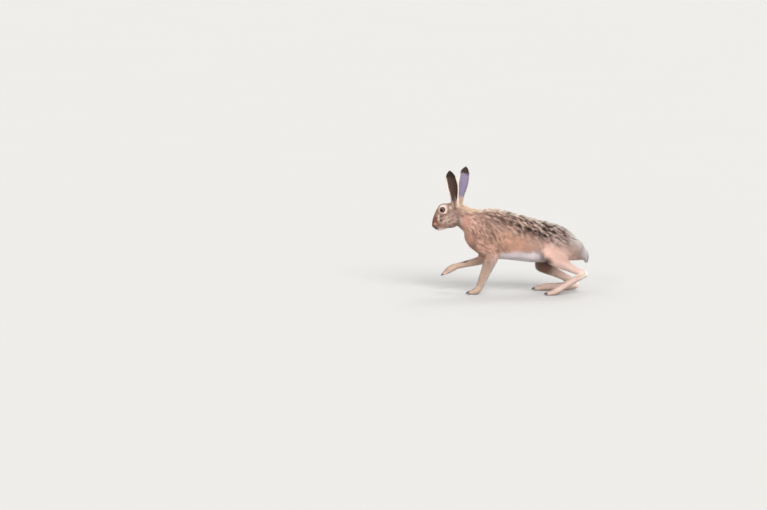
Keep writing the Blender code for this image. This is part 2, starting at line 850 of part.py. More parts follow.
def make_paw(side):
    """A forefoot with its toes and claws, and the wrist's own end cut square."""
    root, way = FORE_TOES[side]
    pieces = [limb("wrist", FORELEGS[side][5:]), limb("paw", PAWS[side])]
    pieces += toes(root, way, FORE_TOE_SIZES)
    paw = fused(f"paw_{SIDE_NAMES[side]}", pieces, PAW_FINENESS)
    wrist, way_on = limb_end(FORELEGS[side][FOREARM_STATIONS])
    combined(paw, half_space(wrist, way_on, -GAP / STEP, REACH), "INTERSECT")
    if side == LEFT:
        combined(paw, half_space(Vector((0, 0, 0)), UP, 0, 4 * REACH), "INTERSECT")
    label = f"fore_{SIDE_NAMES[side]}"
    claws = claws_on(paw, label, root, way, FORE_TOE_SIZES, FORE_CLAW_LENGTH)
    return paw, claws


def make_foot(side):
    """A long hind foot with its toes and claws."""
    root, way = HIND_TOES[side]
    pieces = [limb("ankle", HIND_LEGS[side][6:]), limb("foot", FEET[side])]
    pieces += toes(root, way, HIND_TOE_SIZES)
    foot = fused(f"foot_{SIDE_NAMES[side]}", pieces, FOOT_FINENESS)
    shank = limb_region(HIND_LEGS[side][SHANK_STATIONS])
    combined(foot, shank(2 * GAP / STEP), "DIFFERENCE")
    keep_largest(foot)
    combined(foot, half_space(Vector((0, 0, 0)), UP, 0, 4 * REACH), "INTERSECT")
    label = f"hind_{SIDE_NAMES[side]}"
    claws = claws_on(foot, label, root, way, HIND_TOE_SIZES, HIND_CLAW_LENGTH)
    return foot, claws


def make_head():
    """The head with its lids, nostrils, lips and the sockets for ears and eyes."""
    pieces = [head_core(), limb("neck", NECK), *head_bulges()]
    head = fused("head", pieces, HEAD_FINENESS)
    combined(head, half_space(HEAD_CUT, HEAD_CUT_WAY, -GAP / 2 / STEP, 2 * REACH), "INTERSECT")
    keep_largest(head)
    nostrils(head)
    mouth_lines(head)
    for side in (LEFT, RIGHT):
        combined(head, eyelids(side), "UNION")
        combined(head, eyeball("socket", side, GAP / STEP), "DIFFERENCE")
        combined(head, ear_socket(side), "DIFFERENCE")
    return keep_largest(head)


def stand_at_origin(objects):
    """Moves everything so that the origin is under the middle of the whole hare, on the floor."""
    low = [min(min(v.co[k] for v in o.data.vertices) for o in objects) for k in range(3)]
    high = [max(max(v.co[k] for v in o.data.vertices) for o in objects) for k in range(3)]
    shift = Matrix.Translation((-(low[0] + high[0]) / 2, -(low[1] + high[1]) / 2, -low[2]))
    for obj in objects:
        obj.data.transform(shift)


def main():
    clear_scene()
    coat = material("coat", (0.46, 0.29, 0.18), 0.85)
    pale_coat = material("pale_coat", (0.62, 0.52, 0.42), 0.85)
    ear_skin = material("ear_skin", (0.25, 0.18, 0.15), 0.8)
    eye_glass = material("eye_glass", (0.20, 0.09, 0.03), 0.08)
    horn = material("horn", (0.09, 0.06, 0.05), 0.45)

    parts = make_body()
    made = [dress(piece, coat) for piece in parts.values()]
    made.append(dress(make_head(), coat))
    for side in (LEFT, RIGHT):
        name = SIDE_NAMES[side]
        made.append(dress(ear_cup(f"ear_{name}", side), ear_skin))
        made.append(dress(eyeball(f"eye_{name}", side), eye_glass))
        paw, fore_claws = make_paw(side)
        foot, hind_claws = make_foot(side)
        made += [dress(paw, pale_coat), dress(foot, pale_coat)]
        made += [dress(piece, horn) for piece in fore_claws + hind_claws]
    stand_at_origin(made)


main()
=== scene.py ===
"""The coat, eyes, whiskers and stage of a life-size brown hare, built over its solids.

The nose points to -X, the hare's left side to -Y, and up is +Z. Places in tables are in millimetres.
"""

import math
from collections import namedtuple

import bmesh
import bpy
import numpy as np
from mathutils import Matrix, Vector
from mathutils.bvhtree import BVHTree


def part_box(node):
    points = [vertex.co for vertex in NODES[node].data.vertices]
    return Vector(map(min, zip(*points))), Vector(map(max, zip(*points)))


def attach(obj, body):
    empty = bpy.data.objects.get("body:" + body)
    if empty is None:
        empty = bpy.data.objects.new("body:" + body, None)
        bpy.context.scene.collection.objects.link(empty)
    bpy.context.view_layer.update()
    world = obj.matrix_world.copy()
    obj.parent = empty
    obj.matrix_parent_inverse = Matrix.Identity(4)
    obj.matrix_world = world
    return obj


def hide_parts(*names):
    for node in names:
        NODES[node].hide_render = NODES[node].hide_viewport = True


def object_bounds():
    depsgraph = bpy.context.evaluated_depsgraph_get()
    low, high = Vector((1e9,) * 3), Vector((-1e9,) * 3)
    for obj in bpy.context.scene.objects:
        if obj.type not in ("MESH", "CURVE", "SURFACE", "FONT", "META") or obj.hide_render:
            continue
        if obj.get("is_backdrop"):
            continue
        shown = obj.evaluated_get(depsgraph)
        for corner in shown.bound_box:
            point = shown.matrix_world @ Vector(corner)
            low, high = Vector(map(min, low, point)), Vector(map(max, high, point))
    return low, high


bl_info = {
    "name": "Brown Hare",
    "version": (1, 0, 0),
    "blender": (4, 5, 0),
    "location": "3D View > Sidebar > Hare",
    "description": "Skin, coat, eyes, whiskers and stage of a life-size brown hare",
    "category": "Add Mesh",
}

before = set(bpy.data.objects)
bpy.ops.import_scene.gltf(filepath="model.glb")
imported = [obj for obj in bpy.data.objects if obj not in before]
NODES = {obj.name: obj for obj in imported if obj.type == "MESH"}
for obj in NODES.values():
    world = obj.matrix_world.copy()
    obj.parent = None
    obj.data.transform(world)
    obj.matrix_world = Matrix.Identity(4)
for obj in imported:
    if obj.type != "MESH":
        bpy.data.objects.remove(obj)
SOLID_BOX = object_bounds()

MM = 0.001
SIDES = ("left", "right")
SIGN = {"left": -1, "right": 1}

# Each part of the coat: the solids that it covers and the name of a slot, which is passed on but not used.
Part = namedtuple("Part", "solids slot")
PARTS = {
    "head": Part(("head",), "face_fur"),
    "neck": Part(("neck",), "neck_fur"),
    "torso_left": Part(("torso",), "body_fur"),
    "torso_right": Part(("torso",), "body_fur"),
    "tail": Part(("tail",), "tail_fur"),
}
for side in SIDES:
    PARTS[f"shoulder_{side}"] = Part((f"shoulder_{side}",), "body_fur")
    PARTS[f"foreleg_{side}"] = Part((f"forearm_{side}", f"paw_{side}"), "leg_fur")
    PARTS[f"haunch_{side}"] = Part((f"thigh_{side}",), "body_fur")
    PARTS[f"hindleg_{side}"] = Part((f"shank_{side}", f"foot_{side}"), "leg_fur")
FLESH = sorted({solid for part in PARTS.values() for solid in part.solids})

# The lines that the hair follows, as points with the hair's length there, all in millimetres.
LIE = {
    "crown_line": (
        (-264, 0, 228, 2.0), (-258, 0, 244, 2.8), (-246, 0, 268, 3.8), (-232, 0, 292, 5), (-212, 0, 306, 6),
        (-188, 0, 306, 7.5), (-165, 0, 299, 11), (-135, 0, 288, 14), (-100, 0, 285, 17), (-50, 0, 286, 18),
        (0, 0, 276, 18), (60, 0, 259, 18), (120, 0, 243, 18), (170, 0, 227, 18), (205, 0, 204, 17),
        (230, 0, 175, 16), (243, 0, 153, 15), (254, 0, 132, 15), (258, 0, 112, 14), (256, 0, 98, 13),
    ),
    "belly_line": (
        (-258, 0, 214, 2.2), (-246, 0, 208, 3.6), (-225, 0, 211, 5.5), (-200, 0, 214, 7), (-178, 0, 214, 10),
        (-160, 0, 190, 13), (-148, 0, 165, 15), (-125, 0, 140, 15), (-90, 0, 120, 14), (-45, 0, 113, 13),
        (20, 0, 106, 14), (90, 0, 101, 14), (150, 0, 105, 13), (205, 0, 108, 12), (240, 0, 112, 12),
    ),
    "both_face": (
        (-262, 8, 229, 2.1), (-252, 13, 236, 3.0), (-238, 21, 246, 4.2), (-222, 27, 252, 5),
        (-200, 31, 252, 6.5), (-180, 33, 252, 9), (-158, 37, 246, 12), (-132, 43, 232, 14),
    ),
    "both_jaw": (
        (-252, 8, 220, 2.3), (-236, 14, 219, 3.8), (-214, 20, 222, 6), (-190, 26, 226, 8), (-168, 30, 220, 11),
        (-150, 34, 200, 14), (-135, 38, 178, 15),
    ),
    "both_brow": (
        (-246, 12, 262, 3.8), (-236, 16, 280, 4), (-224, 19, 297, 4.5), (-205, 20, 303, 5.5),
        (-186, 24, 292, 7), (-165, 28, 280, 10), (-135, 32, 268, 14),
    ),
    "both_side_1": (
        (-122, 20, 282, 15), (-88, 42, 252, 16), (-56, 54, 215, 15), (-34, 58, 182, 14), (-14, 56, 150, 13),
    ),
    "both_side_2": (
        (-60, 18, 285, 17), (-28, 42, 255, 17), (4, 54, 220, 17), (32, 58, 186, 16), (58, 58, 155, 15),
    ),
    "both_side_3": (
        (0, 18, 274, 18), (32, 40, 245, 18), (64, 52, 212, 18), (92, 57, 180, 16), (116, 58, 152, 15),
    ),
    "both_side_4": (
        (60, 18, 258, 18), (90, 40, 232, 18), (120, 52, 202, 18), (148, 60, 172, 16), (172, 66, 145, 14),
    ),
    "both_side_5": (
        (120, 18, 242, 18), (147, 38, 218, 18), (174, 50, 190, 18), (200, 56, 160, 15), (218, 50, 132, 13),
    ),
    "both_side_6": (
        (168, 16, 226, 18), (192, 32, 202, 17), (213, 38, 175, 16), (231, 38, 148, 14), (243, 30, 120, 12),
    ),
    "both_low_flank": ((-40, 48, 135, 13), (20, 48, 125, 15), (80, 46, 122, 15), (125, 44, 118, 14)),
    "left_foreleg": (
        (-112, -52, 205, 13), (-98, -58, 175, 12), (-80, -56, 145, 10), (-68, -50, 118, 8), (-76, -43, 92, 6.5),
        (-90, -41, 55, 5.5), (-101, -40, 25, 5), (-112, -40, 11, 4.5), (-138, -40, 5, 4),
    ),
    "right_foreleg": (
        (-112, 52, 200, 13), (-100, 56, 170, 12), (-88, 53, 135, 10), (-82, 46, 112, 8), (-112, 41, 100, 6.5),
        (-150, 40, 91, 5.5), (-182, 38, 82, 5), (-203, 38, 71, 4.5), (-222, 38, 59, 4),
    ),
    "left_haunch": (
        (120, -66, 150, 13), (150, -76, 150, 14), (185, -74, 145, 14), (212, -60, 135, 13), (235, -40, 128, 12),
    ),
    "right_haunch": (
        (100, 62, 108, 13), (128, 74, 118, 14), (165, 76, 124, 14), (200, 62, 124, 13), (232, 40, 120, 12),
    ),
    "left_shank": (
        (130, -62, 125, 11), (160, -60, 112, 10), (190, -59, 98, 8.5), (218, -58, 84, 7), (240, -57, 76, 6),
    ),
    "right_shank": (
        (100, 60, 84, 11), (130, 59, 72, 10), (160, 59, 57, 8.5), (188, 58, 43, 7), (212, 57, 34, 6),
    ),
    "left_foot": (
        (255, -57, 68, 6), (226, -58, 57, 6.5), (198, -59, 41, 6), (170, -60, 24, 5.5), (140, -61, 9, 5),
        (115, -61, 5, 4.2),
    ),
    "right_foot": (
        (230, 57, 20, 6), (196, 58, 14, 6.5), (166, 59, 12, 6), (136, 60, 11, 5.5), (100, 61, 9, 5),
        (75, 61, 5, 4.2),
    ),
}

EYE = {side: sum(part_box(f"eye_{side}"), Vector()) / 2 for side in SIDES}
EYE_RADIUS = (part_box("eye_left")[1].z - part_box("eye_left")[0].z) / 2
HEAD_AHEAD = Vector((-math.cos(math.radians(30)), 0, -math.sin(math.radians(30))))
HEAD_ABOVE = Vector((-math.sin(math.radians(30)), 0, math.cos(math.radians(30))))

# Each ear: its root, the way from the root to the tip, and the way that its cup opens.
Ear = namedtuple("Ear", "root lean opens")
EARS = {
    "left": Ear(Vector((-184, -18, 296)) * MM, Vector((-0.16, -0.24, 1)).normalized(), Vector((-0.34, -1, 0))),
    "right": Ear(Vector((-173, 18, 298)) * MM, Vector((0.21, 0.24, 1)).normalized(), Vector((-0.40, 1, 0))),
}
EAR_LENGTH = 0.126


def amount(name, text, value, **more):
    return bpy.props.FloatProperty(name=name, description=text, default=value, **more)


def tint(name, text, value):
    return bpy.props.FloatVectorProperty(
        name=name, description=text, default=value, size=3, min=0.0, max=1.0, subtype="COLOR"
    )


class HareSizes(bpy.types.PropertyGroup):
    """Sizes of the skin, coat, eyes and stage."""

    grain: amount("Skin grain", "Width of the skin's faces", 0.0022, min=0.0015, unit="LENGTH")
    depth: amount("Coat depth", "How far hair stands off, as a share of its length", 0.28, subtype="FACTOR")
    fullness: amount("Fullness", "How many locks lie over each other", 1.0, min=0.1)
    seed: bpy.props.IntProperty(name="Seed", description="Start of every random draw", default=7)
    whisker: amount("Whisker length", "Length of the longest whisker", 0.055, unit="LENGTH")
    camera_away: amount("Camera distance", "From the hare to the camera", 30.0, unit="LENGTH")
    camera_rise: amount("Camera rise", "How far the camera looks down", math.radians(8), unit="ROTATION")
    view_width: amount("View width", "What the camera's frame spans at the hare", 2.5695, unit="LENGTH")


class HareColours(bpy.types.PropertyGroup):
    """Colours of the coat, ears, eyes and floor."""

    tan: tint("Tan", "Ground colour of the body", (0.82, 0.52, 0.41))
    orange: tint("Orange", "Flank behind the shoulder", (0.98, 0.60, 0.43))
    rust: tint("Rust", "Chest and neck", (0.86, 0.50, 0.39))
    gold: tint("Gold", "Nape", (0.80, 0.60, 0.42))
    cream: tint("Cream", "Light hairs of the back", (0.95, 0.85, 0.74))
    black: tint("Black", "Dark hairs of the back", (0.020, 0.013, 0.011))
    white: tint("White", "Belly, with a cool cast", (0.97, 0.88, 0.91))
    ring: tint("Ring", "Pale ring round the eye", (0.80, 0.66, 0.60))
    rump: tint("Rump", "Grey cream over the tail", (0.94, 0.89, 0.83))
    haunch: tint("Haunch", "Pale pinkish thigh", (0.95, 0.69, 0.60))
    leg: tint("Leg", "Front of the legs", (0.68, 0.49, 0.39))
    face: tint("Face", "Cheek", (0.39, 0.24, 0.20))
    muzzle: tint("Muzzle", "Sides of the nose", (0.155, 0.060, 0.036))
    bridge: tint("Bridge", "Top of the nose and forehead", (0.30, 0.20, 0.14))
    brown: tint("Brown", "Dark marks of the face", (0.075, 0.040, 0.030))
    lavender: tint("Lavender", "Back of the ears", (0.20, 0.18, 0.30))
    iris: tint("Iris", "Brown of the eye", (0.21, 0.085, 0.050))
    floor: tint("Floor", "Floor of the stage", (0.43, 0.426, 0.418))


def sizes():
    return bpy.context.scene.hare_sizes


def colours():
    return bpy.context.scene.hare_colours


class Wire:
    """A shader socket that takes part in Python sums."""

    def __init__(self, finish, socket):
        self.finish = finish
        self.socket = socket

    def __add__(self, other):
        return self.finish.maths("ADD", self, other)

    def __radd__(self, other):
        return self.finish.maths("ADD", other, self)

    def __sub__(self, other):
        return self.finish.maths("SUBTRACT", self, other)

    def __rsub__(self, other):
        return self.finish.maths("SUBTRACT", other, self)

    def __mul__(self, other):
        return self.finish.maths("MULTIPLY", self, other)

    def __rmul__(self, other):
        return self.finish.maths("MULTIPLY", other, self)


class Finish:
    """A material that is being made."""

    def __init__(self, name):
        self.material = bpy.data.materials.new(name)
        self.material.use_nodes = True
        self.tree = self.material.node_tree
        self.tree.nodes.clear()

    def node(self, kind, settings=None, sockets=None, output=0):
        """Any node: its settings first, then its sockets' values or links. Gives one of its outputs."""
        made = self.tree.nodes.new(kind)
        for name, value in (settings or {}).items():
            setattr(made, name, value)
        for name, value in (sockets or {}).items():
            socket = made.inputs[name]
            if isinstance(value, Wire):
                self.tree.links.new(value.socket, socket)
            elif socket.type == "RGBA":
                socket.default_value = (*value, 1.0)
            else:
                socket.default_value = value
        return Wire(self, made.outputs[output]) if made.outputs else None

    def attribute(self, name):
        return self.node("ShaderNodeAttribute", {"attribute_name": name}, output="Vector")

    def object_place(self):
        return self.node("ShaderNodeTexCoord", output="Object")

    def maths(self, operation, first, second=0.0):
        return self.node("ShaderNodeMath", {"operation": operation}, {0: first, 1: second})

    def vector(self, operation, first, second=(0, 0, 0), output=0):
        return self.node("ShaderNodeVectorMath", {"operation": operation}, {0: first, 1: second}, output)

    def scaled(self, first, size):
        return self.node("ShaderNodeVectorMath", {"operation": "SCALE"}, {0: first, "Scale": size})

    def joined(self, x, y, z):
        return self.node("ShaderNodeCombineXYZ", {}, {0: x, 1: y, 2: z})

    def parts_of(self, vector):
        split = self.node("ShaderNodeSeparateXYZ", {}, {0: vector}).socket.node
        return [Wire(self, split.outputs[i]) for i in range(3)]

    def ramp(self, value, low, high):
        """0 below low and 1 above high, smoothly; the other way round where low is above high."""
        flip = low > high
        low, high = sorted((low, high))
        sockets = {"Value": value, "From Min": low, "From Max": high}
        sockets["To Min"], sockets["To Max"] = (1.0, 0.0) if flip else (0.0, 1.0)
        return self.node("ShaderNodeMapRange", {"interpolation_type": "SMOOTHSTEP"}, sockets)

    def noise(self, place, scale, detail=2.0, rough=0.5, output=0):
        sockets = {"Vector": place, "Scale": scale, "Detail": detail, "Roughness": rough}
        return self.node("ShaderNodeTexNoise", {}, sockets, output)

    def mix(self, share, first, second):
        return self.node("ShaderNodeMix", {"data_type": "RGBA"}, {0: share, 6: first, 7: second}, 2)

    def bump(self, height, strength, distance):
        return self.node("ShaderNodeBump", {}, {"Strength": strength, "Distance": distance, "Height": height})

    def principled(self, sockets):
        shader = self.node("ShaderNodeBsdfPrincipled", {}, sockets)
        self.node("ShaderNodeOutputMaterial", {}, {"Surface": shader})
        return self.material


# An eye's centre and its own axes: along the slit towards the nose, up, and the way that it looks.
EyeAxes = namedtuple("EyeAxes", "centre slit rise looks")


def eye_axes(side):
    out = Vector((0, SIGN[side], 0))
    looks = (HEAD_AHEAD * 0.22 + out + HEAD_ABOVE * 0.16).normalized()
    slit = (HEAD_AHEAD - looks * HEAD_AHEAD.dot(looks)).normalized()
    rise = (HEAD_ABOVE - looks * HEAD_ABOVE.dot(looks) - slit * HEAD_ABOVE.dot(slit)).normalized()
    return EyeAxes(EYE[side], slit, rise, looks)


# The way that the hair lies on the upper sides. Dark and light flecks are drawn out along it, by this share.
LIE_DOWN_BACK = (0.72, 0.24, -0.65)
DRAWN_OUT = 0.55

# Pale streaks of the cheek, each with its centre and radii before it is slanted, and its strength.
CHEEK_STREAKS = (
    ((-216, 30, 250), (17, 14, 4.5), 0.24),
    ((-206, 31, 234), (15, 14, 3.0), 0.20),
    ((-196, 31, 262), (11, 12, 3.5), 0.16),
)


class Markings(Finish):
    """A finish that knows the hare's markings. Both sides share the marks that are made on the fold."""

    def __init__(self, name, place):
        super().__init__(name)
        self.place = place(self)
        self.x, self.y, self.z = x, y, z = self.parts_of(self.place)
        self.beside = self.maths("ABSOLUTE", y)
        self.fold = self.joined(x, self.beside, z)
        self.near_fold = self.stirred(self.fold, 260, 0.007)
        self.wide_fold = self.stirred(self.near_fold, 60, 0.022)
        along = self.vector("DOT_PRODUCT", self.fold, LIE_DOWN_BACK, output=1)
        drawn = self.joined(*(along * (-DRAWN_OUT * way) for way in LIE_DOWN_BACK))
        self.combed = self.vector("ADD", self.fold, drawn)
        self.on_left = self.ramp(y, 0.0, -0.01)
        self.on_right = self.ramp(y, 0.0, 0.01)

    def stirred(self, where, scale, reach):
        """A place that is moved about by noise, so that the edge of a spot is uneven."""
        stir = self.vector("SUBTRACT", self.noise(self.place, scale, 2.0, output=1), (0.5, 0.5, 0.5))
        return self.vector("ADD", where, self.scaled(stir, reach))

    def spot(self, where, centre, radii, soft=0.4):
        """1 inside an egg of these radii, in millimetres, and 0 outside it."""
        away = self.vector("SUBTRACT", where, [c * MM for c in centre])
        away = self.vector("DIVIDE", away, [r * MM for r in radii])
        reach = self.vector("LENGTH", away, output=1)
        return self.ramp(reach, 1 + soft, 1 - soft)

    def daub(self, colour, over, strength, where, centre, radii, soft=0.4):
        """The colour with a spot of another over it."""
        return self.mix(self.spot(where, centre, radii, soft) * strength, colour, over)

    def either(self, first, second):
        """The larger of two masks."""
        return self.maths("MAXIMUM", first, second)

    def body(self, colour, chance):
        c = colours()
        wide, near = self.wide_fold, self.near_fold
        patch = self.noise(self.place, 34, 2.0)
        wild = self.noise(self.combed, 160, 3.0, 0.55) * 0.82 + chance * 0.07 + patch * 0.11
        fine = self.noise(self.combed, 210, 2.0, 0.55) * 0.85 + chance * 0.15
        colour = self.daub(colour, c.haunch, 0.8, wide, (80, 60, 160), (80, 70, 44), 0.6)
        colour = self.daub(colour, c.orange, 0.9, wide, (0, 60, 172), (66, 70, 44), 0.6)
        colour = self.daub(colour, c.rust, 0.8, wide, (-128, 20, 175), (52, 60, 62), 0.5)
        colour = self.grizzled(colour, wild, fine, patch)
        rump = self.spot(wide, (228, 0, 172), (46, 80, 52), 0.4)
        colour = self.mix(rump * 0.85, colour, c.rump)
        flecks = rump * self.ramp(wild, 0.45, 0.41) * self.ramp(self.z, 0.16, 0.20)
        colour = self.mix(flecks * 0.8, colour, c.black)
        lower = self.either(
            self.spot(wide, (180, 60, 126), (60, 52, 44), 0.6) * self.on_left,
            self.spot(wide, (168, 60, 106), (62, 50, 42), 0.6) * self.on_right,
        )
        colour = self.mix(lower * 0.95, colour, c.haunch)
        colour = self.mix(lower * self.ramp(fine, 0.50, 0.38) * 0.25, colour, c.rust)
        colour = self.daub(colour, c.white, 0.96, wide, (40, 0, 98), (126, 85, 60), 0.2)
        # Painted shade: dark brown in the fold where the near thigh meets the belly, and in the groin on both
        # sides.
        fold = self.spot(near, (121, 58, 107), (15, 42, 21), 0.6) * self.on_left
        groin_shade = self.either(self.spot(near, (122, 32, 98), (20, 22, 22), 0.5), fold)
        colour = self.mix(groin_shade * 0.97, colour, self.mix(0.3, c.brown, c.black))
        colour = self.daub(colour, c.white, 1.0, wide, (256, 0, 130), (18, 40, 36))
        return self.daub(colour, c.gold, 0.9, wide, (-138, 0, 302), (44, 40, 30), 0.35)

    def grizzled(self, colour, wild, fine, patch):
        """Black and cream flecks over the back, and dark ticks down the sides and over the shoulder."""
        c = colours()
        wide = self.wide_fold
        border = self.z + self.x * 0.36
        over = self.ramp(border + (patch - 0.5) * 0.06, 0.206, 0.240)
        ground = self.mix(self.ramp(self.x, 0.02, 0.18) * 0.35, c.tan, c.lavender)
        back = self.mix(self.ramp(wild, 0.503, 0.529), c.black, ground)
        back = self.mix(self.ramp(wild, 0.568, 0.606), back, c.cream)
        strong = self.ramp(self.x, -0.12, 0.06) * 0.37 + 0.61
        colour = self.mix(over * strong, colour, back)
        ticks = self.ramp(fine, 0.46, 0.42)
        colour = self.mix(ticks * self.ramp(border, 0.155, 0.215) * 0.5, colour, c.brown)
        shoulder = self.either(
            self.spot(wide, (-82, 60, 178), (64, 70, 82)), self.spot(wide, (-126, 45, 238), (26, 50, 38))
        )
        colour = self.mix(ticks * shoulder * 0.75, colour, c.brown)
        colour = self.mix(self.ramp(fine, 0.55, 0.62) * shoulder * 0.3, colour, c.cream)
        # A pale line along the top of the back: partly cream hairs, partly a painted highlight of the light along
        # its edge.
        spine_cream_and_highlight = self.ramp(self.beside, 0.026, 0.010) * self.ramp(self.z, 0.19, 0.22)
        return self.mix(spine_cream_and_highlight * self.ramp(wild, 0.42, 0.50) * 0.5, colour, c.cream)

    def legs(self, colour):
        c = colours()
        near = self.near_fold
        low = self.ramp(self.z, 0.122, 0.104)
        fore = low * self.ramp(self.x, -0.045, -0.055)
        colour = self.mix(fore, colour, c.leg)
        behind = self.x + (0.118 - self.z) * 0.385 + 0.066
        left_rear = self.ramp(behind, 0.002, 0.011) * self.on_left
        below = (self.z - 0.112) * 0.97 - (self.x + 0.080) * 0.245 + 0.010
        right_rear = self.ramp(below, 0.000, -0.008) * self.on_right
        colour = self.daub(colour, c.haunch, 0.75, near, (-52, 50, 120), (15, 40, 20), 0.5)
        colour = self.mix(fore * self.either(left_rear, right_rear) * 0.7, colour, c.ring)
        # Painted shade: a dark spot on the far foreleg.
        forearm_shade = self.spot(near, (-152, 38, 102), (11, 9, 6), 0.5) * self.on_right
        colour = self.mix(forearm_shade * 0.85, colour, c.brown)
        hind = self.ramp(self.x, 0.07, 0.08) * self.either(
            self.on_left * self.ramp(self.z, 0.118, 0.100), self.on_right * self.ramp(self.z, 0.080, 0.064)
        )
        colour = self.mix(hind, colour, c.haunch)
        colour = self.mix(hind * 0.35, colour, c.ring)
        # Painted shade on the inner side of the far thigh, under the belly, reddish towards the bottom.
        inner = self.on_right * self.ramp(self.y, 0.064, 0.044)
        knee_shade = self.spot(self.wide_fold, (104, 50, 80), (36, 30, 28), 0.5) * inner
        colour = self.mix(knee_shade * 0.95, colour, self.mix(0.6, c.bridge, c.muzzle))
        colour = self.mix(knee_shade * self.ramp(self.z, 0.100, 0.080) * 0.3, colour, c.rust)
        heels = self.either(
            self.spot(near, (252, 57, 66), (22, 20, 18), 0.5), self.spot(near, (226, 57, 18), (24, 20, 20), 0.5)
        )
        colour = self.mix(heels * 0.8, colour, c.cream)
        return self.mix(self.ramp(self.z, 0.022, 0.006) * 0.45, colour, c.leg)

    def head(self, colour, chance):
        c = colours()
        near = self.near_fold
        wild = self.noise(self.place, 420, 2.0) * 0.7 + chance * 0.3
        face = self.spot(near, (-214, 0, 256), (58, 60, 62), 0.22)
        colour = self.mix(face, colour, self.mix(self.ramp(wild, 0.30, 0.62), c.bridge, c.face))
        nape = self.mix(0.35, c.rust, c.face)
        colour = self.daub(colour, nape, 0.85, near, (-155, 40, 248), (15, 22, 19), 0.35)
        behind_jaw = self.spot(near, (-177, 36, 238), (4.5, 18, 17), 0.5)
        over_patch = self.spot(near, (-166, 38, 263), (8, 18, 4.5), 0.5)
        seam = self.either(behind_jaw, over_patch) * self.ramp(wild, 0.60, 0.45)
        colour = self.mix(seam * 0.75, colour, c.brown)
        colour = self.daub(colour, c.cream, 0.4, near, (-170, 38, 243), (2.6, 18, 24), 0.5)
        colour = self.daub(colour, c.bridge, 0.75, near, (-228, 0, 298), (40, 27, 38), 0.35)
        crown = self.spot(near, (-205, 0, 309), (18, 26, 9), 0.5)
        colour = self.mix(crown * self.ramp(wild, 0.42, 0.6) * 0.8, colour, c.gold)
        colour = self.daub(colour, c.muzzle, 0.95, near, (-252, 10, 240), (21, 22, 23), 0.55)
        colour = self.daub(colour, c.orange, 0.3, near, (-252, 14, 233), (7, 10, 5), 0.6)
        slanted = self.vector("ADD", near, self.joined(0, 0, (self.x + 0.21) * -0.55))
        mottle = self.noise(slanted, 130, 3.0, 0.6)
        cheek = self.spot(near, (-206, 31, 245), (34, 22, 27), 0.4)
        colour = self.mix(cheek * self.ramp(mottle, 0.50, 0.62) * 0.5, colour, c.ring)
        colour = self.mix(cheek * self.ramp(mottle, 0.46, 0.36) * 0.5, colour, c.brown)
        for centre, radii, strength in CHEEK_STREAKS:
            colour = self.daub(colour, c.cream, strength, slanted, centre, radii, 0.6)
        colour = self.daub(colour, c.ring, 0.55, near, (-241, 20, 254), (3.4, 12, 11), 0.7)
        colour = self.daub(colour, c.cream, 0.8, near, (-215, 8, 207), (34, 26, 13))
        colour = self.daub(colour, c.white, 0.9, near, (-243, 0, 207), (14, 16, 9))
        colour = self.round_eye(colour, mottle)
        colour = self.daub(colour, c.ring, 0.75, near, (-200, 22, 295), (6, 10, 9), 0.5)
        colour = self.daub(colour, c.brown, 0.8, near, (-189, 24, 297), (6, 10, 8))
        colour = self.daub(colour, c.white, 0.9, self.fold, (-256, 7, 216), (5, 6, 3.5))
        # Painted shade: black in the nostrils and a brown line along the crease of the mouth.
        colour = self.daub(colour, c.black, 1.0, self.fold, (-262, 4.5, 227), (4.5, 3.4, 2.6), 0.35)
        return self.daub(colour, c.brown, 0.8, self.fold, (-247, 9, 217.5), (9, 7, 1.6))

    def round_eye(self, colour, mottle):
        """The brow, the pale ring, the dark marks beside and below it, and the dark margin of the lids."""
        c = colours()
        near = self.near_fold
        eye = EYE["right"]
        colour = self.daub(colour, c.ring, 0.6, near, (-224, 22, 297), (13, 12, 8), 0.5)
        ring = self.spot(near, Vector((1.2, 0, -0.2)) + eye / MM, (14.6, 15.0, 14.6), 0.16)
        behind = (self.x - eye.x) + (self.z - eye.z) * 0.5
        colour = self.mix(ring * (self.ramp(behind, -0.012, 0.008) * 0.35 + 0.55), colour, c.ring)
        colour = self.daub(colour, c.brown, 0.85, self.fold, (-210, 31, 276), (3, 8, 6.5))
        colour = self.daub(colour, c.brown, 0.9, self.fold, (-226, 30, 267), (7, 9, 2.2), 0.5)
        tear = self.spot(near, (-232, 24, 256), (5.5, 13, 13), 0.6) * self.ramp(mottle, 0.64, 0.46)
        colour = self.mix(tear * 0.9, colour, c.brown)
        margin = (eye + eye_axes("right").looks * (EYE_RADIUS * 0.75)) / MM
        return self.daub(colour, c.brown, 1.0, self.fold, margin, (10.0, 10.0, 10.0), 0.04)

    def coat(self, chance):
        c = colours()
        colour = self.legs(self.body(c.tan, chance))
        colour = self.daub(colour, c.black, 0.95, self.near_fold, (266, 0, 128), (13, 7, 42), 0.3)
        return self.head(colour, chance)

    def ear(self, chance):
        """An ear's colours, by how far along it, on which face and how near the rim."""
        c = colours()
        along, inside, rim = self.parts_of(self.attribute("ear_place"))
        stir = (self.noise(self.place, 160, 2.0) - 0.5) * 0.12
        up = along + stir
        speck = self.noise(self.place, 500, 2.0)
        back = self.mix(self.ramp(up, 0.02, 0.28), c.gold, c.lavender)
        back = self.mix(self.ramp(speck, 0.6, 0.4) * 0.35, back, c.bridge)
        front = self.mix(self.ramp(up, -0.1, 0.22), c.face, self.mix(0.45, c.brown, c.black))
        front = self.mix(self.ramp(speck + chance * 0.2, 0.55, 0.75) * 0.12, front, c.face)
        colour = self.mix(inside, back, front)
        colour = self.mix(self.ramp(up, 0.16, -0.02) * 0.6, colour, c.face)
        edge = self.ramp(rim + stir, 0.74, 0.92)
        colour = self.mix(edge * (self.ramp(up, 0.0, 0.3) * 0.55 + 0.35), colour, c.cream)
        stripe = self.ramp(rim + stir, 0.35, 0.15) * self.ramp(up, 0.34, 0.08) * inside
        colour = self.mix(stripe * 0.3, colour, c.cream)
        return self.mix(self.ramp(up, 0.76, 0.86), colour, c.black)


